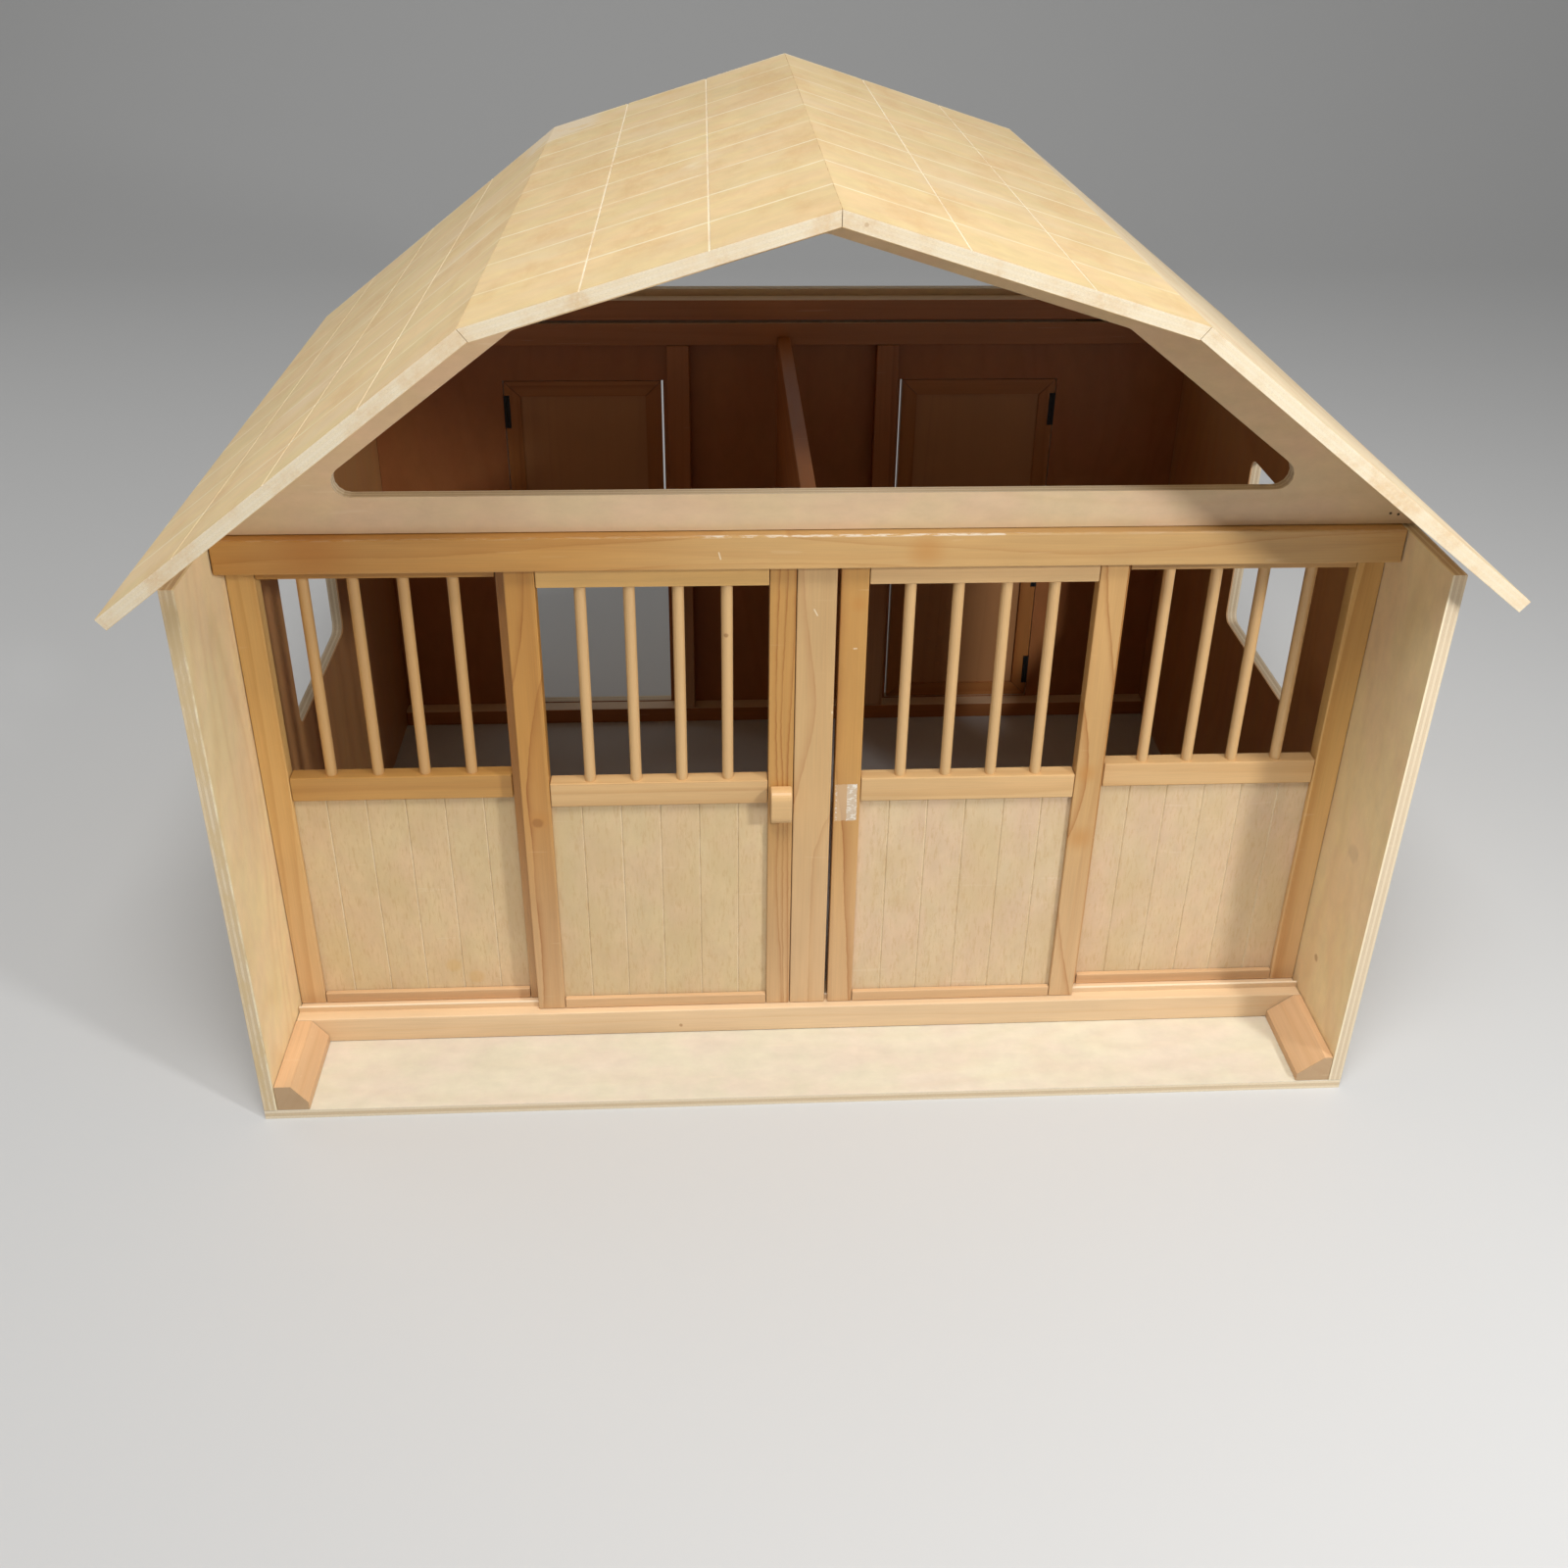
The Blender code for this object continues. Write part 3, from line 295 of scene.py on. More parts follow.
# %% Group: sawn pine
def make_pine_group():
    net, given, out = new_group(
        "sawn_pine",
        {
            "Place": PLACE, "Pale": COLOUR, "Late Wood": COLOUR,
            "Ring Width": NUMBER, "Line Strength": NUMBER,
        },
        {"Color": COLOUR, "Roughness": NUMBER, "Height": NUMBER},
    )
    place = given["Place"]
    sway = net.noise(place, (7, 7, 1.6), detail=1.0, output="Color")
    sway = net.vector("SUBTRACT", sway, (0.5, 0.5, 0.5))
    bent = net.vector("ADD", place, net.vector("MULTIPLY", sway, (0.03, 0.03, 0)))
    across = net.vector("MULTIPLY", bent, (1, 1, 0))
    rings = net.math("DIVIDE", net.vector("LENGTH", across), given["Ring Width"])
    uneven = net.noise(place, (45, 45, 5))
    rings = net.scaled(uneven, 0.7, rings)
    # Wet and dry years: neighbouring rings differ in width and in strength.
    weather = net.math("SINE", net.times(rings, 1.7))
    rings = net.scaled(weather, 0.35, rings)
    year = net.math("FRACT", rings)
    rise = net.math("POWER", net.between(year, 0.3, 0.9), 1.5)
    late = net.times(rise, net.between(year, 0.92, 1.0, 1.0, 0.0))
    which = net.noise(net.math("FLOOR", rings), scale=7.3, detail=0.0)
    late = net.times(late, net.between(which, 0.35, 0.65, 0.2, 1.0))
    streak = net.noise(place, (110, 110, 4))
    streak = net.times(net.between(streak, 0.45, 0.75), 0.35)
    line = net.math("ADD", late, streak)
    line = net.times(line, given["Line Strength"], clamp=True)
    fibre = net.noise(place, (1500, 1500, 28), detail=3.0, rough=0.6)
    patch = net.noise(place, (30, 30, 7), detail=3.0)
    wood = net.mix(line, given["Pale"], given["Late Wood"])
    tone = net.times(
        net.between(fibre, 0.25, 0.75, 0.93, 1.05, "LINEAR"),
        net.between(patch, 0.25, 0.75, 0.88, 1.1, "LINEAR"),
    )
    wood = net.shade(wood, tone)
    net.feed(out.inputs["Color"], wood)
    net.feed(out.inputs["Roughness"], net.between(fibre, 0.2, 0.8, 0.38, 0.55, "LINEAR"))
    grain = net.times(fibre, 0.00003)
    net.feed(out.inputs["Height"], net.scaled(late, 0.00005, grain))
    return net.tree


pine_group = make_pine_group()
print("sawn_pine", len(pine_group.nodes), "nodes")

# %% [markdown]
# On each stile of the real doors one or two late-wood lines stand out: crisp on the side of
# the bark and fading towards the heart. This group turns the distance from such a line into
# its mask.

# %% Group: one grain line
def make_line_group():
    net, given, out = new_group(
        "grain_line",
        {"Place": PLACE, "Away": NUMBER, "Fade": NUMBER},
        {"Mask": NUMBER},
    )
    place = given["Place"]
    tremble = net.noise(place, (160, 160, 160), detail=3.0)
    away = net.minus(given["Away"], 0.0005)
    away = net.scaled(tremble, 0.001, away)
    crisp = net.between(away, -0.0006, 0.0003)
    tail = net.math("DIVIDE", away, given["Fade"], clamp=True)
    tail = net.math("POWER", net.minus(1.0, tail), 1.7)
    core = net.between(net.math("ABSOLUTE", away), 0.0, 0.0007, 0.3, 0.0)
    uneven = net.noise(place, (22, 22, 22))
    mask = net.scaled(crisp, net.times(tail, 0.75), core)
    mask = net.times(mask, net.between(uneven, 0.3, 0.65, 0.45, 1.0))
    net.feed(out.inputs["Mask"], mask)
    return net.tree


line_group = make_line_group()
print("grain_line", len(line_group.nodes), "nodes")

# %% [markdown]
# Plywood is thin veneers glued with the grain of each across the last. Its faces carry the
# soft flame figure of a log peeled round and round, and its edges show the layers as pale and
# darker stripes. Here Z is the depth below the upper face, in metres. The depth picks the
# layer, and only the skin at either face is yellowed by lacquer, so a groove or a sawn edge
# shows paler wood, as it does on the real roof.

# %% Group: plywood
def make_plywood_group():
    net, given, out = new_group(
        "layered_plywood",
        {
            "Place": PLACE, "Thickness": NUMBER, "Layers": NUMBER,
            "Face": COLOUR, "Figure": COLOUR, "Figure Strength": NUMBER,
            "Raw": COLOUR, "Raw Across": COLOUR, "Glue": NUMBER,
        },
        {"Color": COLOUR, "Roughness": NUMBER, "Height": NUMBER},
    )
    place = given["Place"]
    x, y, z = net.split(place)
    depth = net.math("DIVIDE", z, given["Thickness"], clamp=True)
    layer_at = net.times(depth, given["Layers"])
    lowest = net.minus(given["Layers"], 0.01)
    layer = net.math("FLOOR", net.math("MINIMUM", layer_at, lowest))
    crossed = net.math("MODULO", layer, 2.0)
    # Figure of the peeled face: contour lines of a slow noise, drawn out along the grain.
    hill = net.noise(place, (16, 3.2, 16), detail=1.5, rough=0.45)
    wave = net.math("SINE", net.times(hill, 74.0))
    figure = net.math("POWER", net.between(wave, -1.0, 1.0, kind="LINEAR"), 2.5)
    cloud = net.noise(place, (9, 4, 9), detail=3.0, rough=0.6)
    strength = net.times(given["Figure Strength"], net.between(cloud, 0.35, 0.65, 0.35, 1.0))
    face = net.mix(net.times(figure, strength), given["Face"], given["Figure"])
    pore = net.noise(place, (1300, 75, 1300), rough=0.7)
    pores = net.between(pore, 0.6, 0.72)
    face = net.tint(face, pores, 0.22, given["Figure"])
    mottle = net.noise(place, (120, 60, 120), detail=4.0, rough=0.65)
    tone = net.times(
        net.between(cloud, 0.3, 0.7, 0.94, 1.05, "LINEAR"),
        net.between(mottle, 0.3, 0.7, 0.94, 1.05, "LINEAR"),
    )
    face = net.shade(face, tone)
    blush = net.noise(place, (34, 20, 34), detail=3.0, rough=0.6)
    warmth = net.mix(net.between(blush, 0.35, 0.65), (0.985, 1.0, 0.96), (1.0, 0.96, 0.97))
    face = net.mix(1.0, face, warmth, "MULTIPLY")
    # Sawn edge: layers of long and of end grain, a dark line of glue between them.
    hair = net.noise(place, (900, 900, 5200), rough=0.6)
    edge = net.mix(crossed, given["Raw"], given["Raw Across"])
    hairs = net.between(hair, 0.3, 0.7, 0.88, 1.08, "LINEAR")
    edge = net.shade(edge, hairs)
    seam = net.math("PINGPONG", layer_at, 0.5)
    seam = net.between(seam, 0.02, 0.1, 1.0, 0.0)
    last = net.minus(given["Layers"], 0.3)
    first = net.over(layer_at, 0.3)
    inside = net.times(first, net.under(layer_at, last))
    glue = net.times(seam, inside, given["Glue"])
    edge = net.mix(glue, edge, (0.3, 0.18, 0.09))
    # The yellowed skin ends between 0.06 and 0.3 mm under either face.
    skin = (0.00006, 0.0003)
    below = net.between(z, *skin)
    above = net.between(net.minus(given["Thickness"], z), *skin)
    cut = net.times(below, above)
    net.feed(out.inputs["Color"], net.mix(cut, face, edge))
    rough = net.between(mottle, 0.2, 0.8, 0.42, 0.58, "LINEAR")
    net.feed(out.inputs["Roughness"], net.scaled(cut, 0.25, rough))
    grain = net.times(pore, -0.00004)
    sawn = net.times(hair, 0.00012)
    net.feed(out.inputs["Height"], net.scaled(sawn, cut, grain))
    return net.tree


plywood_group = make_plywood_group()
print("layered_plywood", len(plywood_group.nodes), "nodes")

# %% [markdown]
# Play leaves soft grey smudges, and fine pale scratches where things were dragged. This group
# gives both as masks, and each finish decides how much of them it takes.

# %% Group: traces of play
def make_play_group():
    net, given, out = new_group(
        "traces_of_play",
        {"Place": PLACE},
        {"Smudge": NUMBER, "Scratch": NUMBER},
    )
    place = given["Place"]
    cloud = net.noise(place, (14, 14, 14), detail=6.0, rough=0.62)
    net.feed(out.inputs["Smudge"], net.between(cloud, 0.56, 0.74))
    bend = net.noise(place, (25, 25, 25), detail=1.0)
    # Stretched along a slanting line, the noise leaves only thin streaks above 0.8.
    wires = {"Vector": place, "Rotation": (0.5, 0.7, 0.9), "Scale": (30, 420, 420)}
    turned = net.put("ShaderNodeMapping", wires).outputs["Vector"]
    line = net.noise(net.vector("ADD", turned, net.join(0.0, bend, 0.0)), detail=0.0)
    net.feed(out.inputs["Scratch"], net.between(line, 0.8, 0.83))
    return net.tree


play_group = make_play_group()
print("traces_of_play", len(play_group.nodes), "nodes")

# %% [markdown]
# A finish joins the groups to one shader. The functions below start a material on the
# Object coordinates, which here are metres in the stable's own frame, and turn and move
# them so that the wood's own axes come out right for that piece.

# %% Start and end of a wooden finish
def new_finish(name):
    """A material, its net and the place in the stable."""
    finish = bpy.data.materials.new(name)
    finish.use_nodes = True
    net = Net(finish.node_tree)
    return finish, net, net.put("ShaderNodeTexCoord").outputs["Object"]


def start_finish(name, turn, move):
    """The same for wood, with the place in the piece of wood as a fourth."""
    finish, net, place = new_finish(name)
    return finish, net, place, net.place_in(place, turn, move)


def add_group(net, tree, **values):
    node = net.put("ShaderNodeGroup")
    node.node_tree = tree
    for key, value in values.items():
        net.feed(node.inputs[key.replace("_", " ")], value)
    return node.outputs


def play_on(net, place, colour, smudged, grey, bared):
    """Smudges and scratches over a colour."""
    play = add_group(net, play_group, Place=place)
    colour = net.tint(colour, play["Smudge"], smudged, grey)
    return net.tint(colour, play["Scratch"], 0.12, bared)


def end_finish(net, colour, roughness, height, coat=0.0):
    shader = net.tree.nodes["Principled BSDF"]
    net.feed(shader.inputs["Base Color"], colour)
    net.feed(shader.inputs["Roughness"], roughness)
    bump = net.put("ShaderNodeBump", {"Height": height, "Strength": 0.6, "Distance": 1.0})
    net.feed(shader.inputs["Normal"], bump.outputs["Normal"])
    shader.inputs["Specular IOR Level"].default_value = 0.35
    shader.inputs["Coat Weight"].default_value = coat
    shader.inputs["Coat Roughness"].default_value = 0.3


def give(finish, *names):
    """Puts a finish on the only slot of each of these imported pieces."""
    for name in names:
        nodes[name].data.materials.clear()
        nodes[name].data.materials.append(finish)


print("finish helpers ready")

# %% [markdown]
# Plywood pieces. For each sheet, `turn` and `move` carry the point so that Z is the depth
# through the sheet, Y runs along its grain and X across. The colours are lacquered birch:
# the roof yellowed most, and the floor of the porch stayed palest.

# %% Plywood finishes
BOX = {name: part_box(name) for name in nodes}
HALF_TURN = math.pi / 2
# A point this near to a flat face, in metres, counts as lying on it.
SKIN, END_SKIN = 0.0003, 0.0002
RAW, RAW_ACROSS = (0.8, 0.67, 0.48), (0.68, 0.53, 0.34)
WALL_FACE, WALL_FIGURE = (0.73, 0.555, 0.345), (0.62, 0.42, 0.22)
# Multipliers for the inner faces of the side walls: painted light in front of the front frame, and
# painted shade behind it.
PORCH_PAINTED_LIGHT, STALL_PAINTED_SHADE = (1.2, 1.28, 1.27), (0.76, 0.5, 0.31)
# How strongly lacquer colours the front edge of the left (-1) and the right (1) wall.
EDGE_LACQUER = {-1: (0.85, (0.66, 0.49, 0.26)), 1: (0.45, (0.74, 0.6, 0.42))}


def plywood(
    name, turn, move, face, figure, thickness,
    layers=5, strength=0.35, extra=None, raw=RAW, raw_across=RAW_ACROSS, glue=0.3,
):
    finish, net, place, wood = start_finish(name, turn, move)
    ply = add_group(
        net, plywood_group, Place=wood, Thickness=thickness, Layers=layers,
        Face=face, Figure=figure, Figure_Strength=strength,
        Raw=raw, Raw_Across=raw_across, Glue=glue,
    )
    colour = play_on(net, place, ply["Color"], 0.1, (0.42, 0.33, 0.24), (0.86, 0.74, 0.55))
    if extra:
        colour = extra(net, place, colour)
    end_finish(net, colour, ply["Roughness"], ply["Height"], coat=0.12)
    return finish


def dots(net, place, points, radius):
    """A mask that is 1 within the radius of any of the points."""
    found = 0.0
    for point in points:
        away = net.vector("LENGTH", net.vector("SUBTRACT", place, point))
        dot = net.between(away, radius * 0.6, radius * 1.2, 1.0, 0.0)
        found = net.most(found, dot)
    return found


def strokes(net, place, segments, width):
    """A mask of fine straight marks, each given by its two ends."""
    found = 0.0
    for start, end in segments:
        way = Vector(end) - Vector(start)
        from_start = net.vector("SUBTRACT", place, start)
        along = net.vector("DOT_PRODUCT", from_start, tuple(way))
        share = net.math("DIVIDE", along, way.length_squared, clamp=True)
        nearest = net.vector("MULTIPLY", net.join(share, share, share), tuple(way))
        away = net.vector("LENGTH", net.vector("SUBTRACT", from_start, nearest))
        found = net.most(found, net.between(away, width * 0.4, width, 1.0, 0.0))
    return found


def wall_extra(sign):
    """Painted shade darkens the inner walls behind the front frame, and painted light brightens
    them in front of it. The right one has two small stains.
    """

    def add_marks(net, place, colour):
        x, y, z = net.split(place)
        level = BOX["right_side_wall"][0].x
        inner = net.under(net.math("ABSOLUTE", x), level + 0.001)
        frame_front, frame_back = -0.14, -0.132
        # Painted shade on the inner faces behind the front frame, painted light on those in front
        # of it.
        stall_shade = net.times(net.between(y, frame_front, frame_back), inner)
        colour = net.mix(stall_shade, colour, STALL_PAINTED_SHADE, "MULTIPLY")
        porch = net.times(net.between(y, frame_back, frame_front), inner)
        colour = net.mix(porch, colour, PORCH_PAINTED_LIGHT, "MULTIPLY")
        # Lacquer has soaked into the front edge unevenly.
        edge = net.under(y, BOX["right_side_wall"][0].y + SKIN)
        soaked = net.noise(place, (150, 150, 45), detail=4.0, rough=0.65)
        most, lacquer = EDGE_LACQUER[sign]
        edge = net.times(edge, net.between(soaked, 0.4, 0.62, 0.25, most))
        colour = net.mix(edge, colour, lacquer)
        if sign < 0:
            return colour
        wobble = net.noise(place, (260, 260, 130), detail=3.0)
        shift = net.join(0.0, net.scaled(wobble, 0.006, -0.003), 0.0)
        moved = net.vector("ADD", place, shift)
        spot = net.times(dots(net, moved, [(level, -0.1668, 0.0589)], 0.0026), inner)
        smudge = dots(net, moved, [(level, -0.1807, 0.1458)], 0.006)
        colour = net.tint(colour, spot, 0.6, (0.4, 0.22, 0.08))
        return net.mix(net.times(smudge, inner, 0.22), colour, (0.38, 0.3, 0.2))

    return add_marks


wall_ply = BOX["left_side_wall"][1].x - BOX["left_side_wall"][0].x
for side, sign in (("left", -1), ("right", 1)):
    # Depth is counted from the outer face inwards, and the grain stands upright.
    outer = BOX[f"{side}_side_wall"][1 if sign > 0 else 0].x
    wall = plywood(
        f"{side}_wall_plywood", (0, sign * HALF_TURN, HALF_TURN), (0, 0, sign * outer),
        WALL_FACE, WALL_FIGURE, wall_ply, extra=wall_extra(sign),
    )
    give(wall, f"{side}_side_wall")

apron_top = BOX["base_apron"][1].z
give(
    plywood(
        "apron_plywood", (math.pi, 0, HALF_TURN), (0, 0, apron_top),
        (0.7, 0.64, 0.52), (0.65, 0.56, 0.42), apron_top, layers=3, strength=0.28,
    ),
    "base_apron",
)
print("walls", round(wall_ply, 4), "apron", round(apron_top, 4))

# %% [markdown]
# The front gable carries two small nail holes beside its right foot, and every nail hole is a
# dark dot with a slightly bruised rim. A dot is a short distance from a point, so it needs
# nothing but the place.

# %% Gables
gable_front = BOX["front_gable"][0].y
NAIL_HOLES = [(0.2916, gable_front, 0.3419), (0.2958, gable_front, 0.3413)]


def nail_holes(net, place, colour):
    return net.mix(dots(net, place, NAIL_HOLES, 0.0008), colour, (0.05, 0.03, 0.02))


gable_ply = BOX["front_gable"][1].y - gable_front
for name, extra in (("front_gable", nail_holes), ("rear_gable", None)):
    front = BOX[name][0].y
    give(
        plywood(
            f"{name}_plywood", (HALF_TURN, 0, HALF_TURN), (0, 0, -front),
            (0.72, 0.535, 0.335), (0.63, 0.43, 0.23), gable_ply, strength=0.25, extra=extra,
        ),
        name,
    )
print("gable ply", round(gable_ply, 4))

# %% [markdown]
# Roof panels. Their tops are sanded, scored across with faint knife lines and stained a warm
# yellow. The two pitches are the model's own. How far a panel's top plane lies from the
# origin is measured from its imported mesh, as the farthest vertex along the plane's normal.

# %% Roof finishes
ROOF_PITCH = {"upper": math.radians(17.3), "lower": math.radians(37.86)}
SCORE_SPACING = 0.0513
FIRST_SCORE = -0.1798
ROOF_PLY = 0.007
ROOF_FRONT, ROOF_REAR = BOX["roof_upper_left"][0].y, BOX["roof_upper_left"][1].y
ROOF_FACE, ROOF_FIGURE = (0.8, 0.6, 0.315), (0.7, 0.47, 0.21)
# The lower right panel is paler, partly from wear and partly as a painted sheen of the low light
# grazing it.
WORN_AND_SHEEN_FACE = (0.86, 0.7, 0.46)
ROOF_RAW, ROOF_RAW_ACROSS = (0.88, 0.78, 0.59), (0.87, 0.76, 0.55)
GLUE_SMEARS = [(-0.058, -0.05, 0.494), (-0.012, 0.026, 0.509)]


def roof_marks(net, place, colour):
    """Faint pale lines across the roof with darker clouds between them, and a worn rear corner."""
    x, y, z = net.split(place)
    wander = net.noise(place, (14, 3, 14))
    along = net.scaled(wander, 0.005, y)
    # Sixteen steps are added so that the count stays positive behind the first line.
    count = net.math("DIVIDE", net.minus(along, FIRST_SCORE), SCORE_SPACING)
    step = net.math("FRACT", net.math("ADD", count, 16.0))
    line = net.between(net.math("PINGPONG", step, 0.5), 0.009, 0.026, 1.0, 0.0)
    broken = net.noise(place, (40, 8, 40))
    line = net.times(line, net.between(broken, 0.35, 0.6, 0.5, 1.0))
    # Blotches of darker lacquer, each about as wide as a thumb, and finer specks in them.
    cloud = net.noise(place, (36, 15, 36), detail=5.0, rough=0.62)
    speck = net.noise(place, (300, 130, 300), detail=3.0, rough=0.7)
    blotch = net.times(net.between(cloud, 0.44, 0.66), net.between(speck, 0.3, 0.6, 0.2, 0.5))
    colour = net.mix(blotch, colour, (0.7, 0.44, 0.19))
    bleached = net.noise(place, (11, 16, 11), detail=3.0, rough=0.6)
    colour = net.mix(net.between(bleached, 0.5, 0.72, 0.0, 0.45), colour, (0.84, 0.66, 0.43))
    colour = net.mix(line, colour, (0.92, 0.8, 0.55))
    # The front edges are duller than the grooves, with one small brown mark near the ridge.
    edge = net.under(y, ROOF_FRONT + SKIN)
    colour = net.mix(edge, colour, (0.9, 0.88, 0.86), "MULTIPLY")
    mark = dots(net, place, [(0.01, ROOF_FRONT, 0.506)], 0.001)
    colour = net.tint(colour, mark, 0.45, (0.42, 0.24, 0.1))
    # Lacquer has worn off the left break near the rear.
    ragged = net.noise(place, (60, 60, 60), detail=4.0, rough=0.6)
    rear = net.scaled(ragged, 0.06, net.times(y, 0.35))
    patch = net.times(net.between(rear, 0.088, 0.098), net.between(x, -0.12, -0.135))
    patch = net.times(patch, net.between(x, -0.185, -0.165))
    colour = net.tint(colour, patch, 0.7, (0.8, 0.67, 0.49))
    # Two smears of dried glue beside the ridge.
    smear = net.times(dots(net, place, GLUE_SMEARS, 0.01), net.between(ragged, 0.42, 0.6))
    return net.tint(colour, smear, 0.5, (0.88, 0.74, 0.5))


for level, pitch_of in ROOF_PITCH.items():
    for side, sign in (("left", -1), ("right", 1)):
        name = f"roof_{level}_{side}"
        top = max(
            abs(v.co.x) * math.sin(pitch_of) + v.co.z * math.cos(pitch_of)
            for v in nodes[name].data.vertices
        )
        panel = plywood(
            f"{name}_plywood", (0, math.pi - sign * pitch_of, HALF_TURN), (0, 0, top),
            WORN_AND_SHEEN_FACE if name == "roof_lower_right" else ROOF_FACE, ROOF_FIGURE, ROOF_PLY,
            strength=0.05, extra=roof_marks, raw=ROOF_RAW, raw_across=ROOF_RAW_ACROSS, glue=0.08,
        )
        give(panel, name)
print("roof panels", [n for n in nodes if n.startswith("roof_")])

# %% [markdown]
# The panels are glued together at the ridge and at the two breaks, and glue fills those
# joints nearly to the surface. Each filling is a new piece: its cross-section is one quad,
# drawn out along the roof with bmesh, and it rides the roof lid's body.

# %% Glue in the roof joints
SETBACK = 0.002
BREAK = [(0.15335, 0.4574), (0.154, 0.45755), (0.15825, 0.46293), (0.158, 0.46307)]
JOINTS = {
    "ridge_glue": [(-0.0002, 0.5052), (0.0002, 0.5052), (0.0002, 0.51225), (-0.0002, 0.51225)],
    "right_break_glue": BREAK,
    "left_break_glue": [(-x, z) for x, z in BREAK],
}
dried_glue, net, place = new_finish("dried_wood_glue")
speck = net.noise(place, (200, 60, 200), detail=3.0, rough=0.7)
end_finish(
    net,
    net.mix(net.between(speck, 0.45, 0.62), (0.72, 0.53, 0.28), (0.5, 0.32, 0.14)),
    net.between(speck, 0.3, 0.7, 0.35, 0.6, "LINEAR"),
    net.times(speck, 0.00004),
)


def lay_glue(name, section):
    bm = bmesh.new()
    face = bm.faces.new([bm.verts.new((x, ROOF_FRONT + SETBACK, z)) for x, z in section])
    extruded = bmesh.ops.extrude_face_region(bm, geom=[face])
    length = ROOF_REAR - ROOF_FRONT - SETBACK - 0.0001
    piece = draw_out(name, bm, extruded, (0, length, 0))
    piece.data.materials.append(dried_glue)
    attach(piece, "roof_lid")
    return piece


print([lay_glue(name, section).name for name, section in JOINTS.items()])

# %% [markdown]
# The grooved panels of the doors and stalls are thin board with upright grain. Little lacquer
# reached them, so they look dry and a touch mottled.

# %% Grooved panels
PANELS = [n for n in nodes if n.endswith("_panel")]
stall_front = BOX["left_stall_panel"][0].y
YELLOW_STAINS = [(-0.1959, stall_front, 0.0388), (-0.2089, stall_front, 0.0475)]


def panel_flecks(net, place, colour):
    """Upright flecks of resin, and two faint yellow stains low on the left stall's panel."""
    haze = net.noise(place, (30, 30, 17), detail=4.0, rough=0.6)
    colour = net.mix(net.between(haze, 0.42, 0.66, 0.0, 0.45), colour, (0.6, 0.44, 0.22))
    fleck = net.noise(place, (640, 640, 110), detail=4.0, rough=0.75)
    fleck = net.between(fleck, 0.5, 0.66, 0.0, 0.45)
    colour = net.mix(fleck, colour, (0.55, 0.35, 0.16))
    stain = dots(net, place, YELLOW_STAINS, 0.005)
    return net.tint(colour, stain, 0.3, (0.68, 0.4, 0.12))


for number, name in enumerate(sorted(PANELS)):
    front = BOX[name][0].y
    # The two right panels are a little rosier than the left ones.
    face = (0.7, 0.525, 0.335) if name.startswith("right") else (0.69, 0.52, 0.305)
    give(
        plywood(
            f"{name}_board", (HALF_TURN, 0, 0), (0.37 * number, 0, -front),
            face, (0.6, 0.41, 0.22), 0.003, layers=3, strength=0.12, extra=panel_flecks,
            raw=(0.79, 0.65, 0.44), raw_across=(0.76, 0.61, 0.4),
        ),
        name,
    )
print("panels", len(PANELS))

# %% [markdown]
# Black hinges are moulded plastic. Each fixed half is one piece with the back wall, so the
# wall's finish turns black wherever the point lies behind the wall, proud of its top, or
# inside a hinge's own height at the jamb.

# %% Back wall and hinges
HINGE_BLACK = (0.016, 0.016, 0.017)
back_outer = BOX["rear_gable"][1].y
back_inner = back_outer - wall_ply
wall_top = BOX["left_side_wall"][1].z
HINGE_NAMES = [n for n in nodes if n.endswith("_hinge")]
LEAF_HINGES = [n for n in HINGE_NAMES if "_back_" in n]
heights = sorted({round((BOX[n][0].z + BOX[n][1].z) / 2, 4) for n in LEAF_HINGES})
hinge_half = (BOX[LEAF_HINGES[0]][1].z - BOX[LEAF_HINGES[0]][0].z) / 2
jamb = BOX["right_back_upper_leaf"][1].x + 0.0007
INDOOR_PAINTED_SHADE = (0.6, 0.3, 0.16)


def hinge_parts(net, place, colour):
    x, y, z = net.split(place)
    behind = net.over(y, back_outer + 0.0001)
    proud = net.over(z, wall_top + 0.0001)
    past = net.under(y, back_inner - 0.0001)
    aside = net.math("ABSOLUTE", x)
    plate = net.math("COMPARE", aside, jamb - 0.0011, 0.001)
    # A hinge plate lies on the jamb, within 1 mm of its middle and within its own height.
    level = 0.0
    for height in heights:
        level = net.most(level, net.math("COMPARE", z, height, hinge_half + 0.0001))
    plate = net.times(plate, level)
    outside = net.most(behind, proud)
    black = net.most(outside, net.most(past, plate))
    # Painted shade: the back wall's inner face is made darker and redder for the shade indoors.
    indoor_shade = net.under(y, back_inner + END_SKIN)
    colour = net.mix(indoor_shade, colour, INDOOR_PAINTED_SHADE, "MULTIPLY")
    return net.mix(black, colour, HINGE_BLACK)


give(
    plywood(
        "back_wall_plywood", (HALF_TURN, 0, 0), (0, 0, -back_inner),
        (0.72, 0.545, 0.34), (0.62, 0.42, 0.22), wall_ply, extra=hinge_parts,
    ),
    "back_wall",
)

black, net, place = new_finish("black_hinge_plastic")
speckle = net.noise(place, scale=900.0, detail=3.0)
end_finish(
    net,
    net.mix(net.between(speckle, 0.45, 0.75), (0.012, 0.012, 0.013), (0.035, 0.034, 0.033)),
    net.between(speckle, 0.3, 0.7, 0.35, 0.55, "LINEAR"),
    net.times(speckle, 0.00002),
)
give(black, *HINGE_NAMES)
print("hinges", len(HINGE_NAMES), "at heights", heights)

# %% [markdown]
# Pine sticks. `along` names the axis that the grain follows. The heart of the log is placed a
# few centimetres from the middle of each stick, in a direction of its own, so that one stick
# shows straight lines and the next a flame. Each tone is a pair of colours, for spring wood
# and for late wood, and was mixed until its sticks matched the photograph.

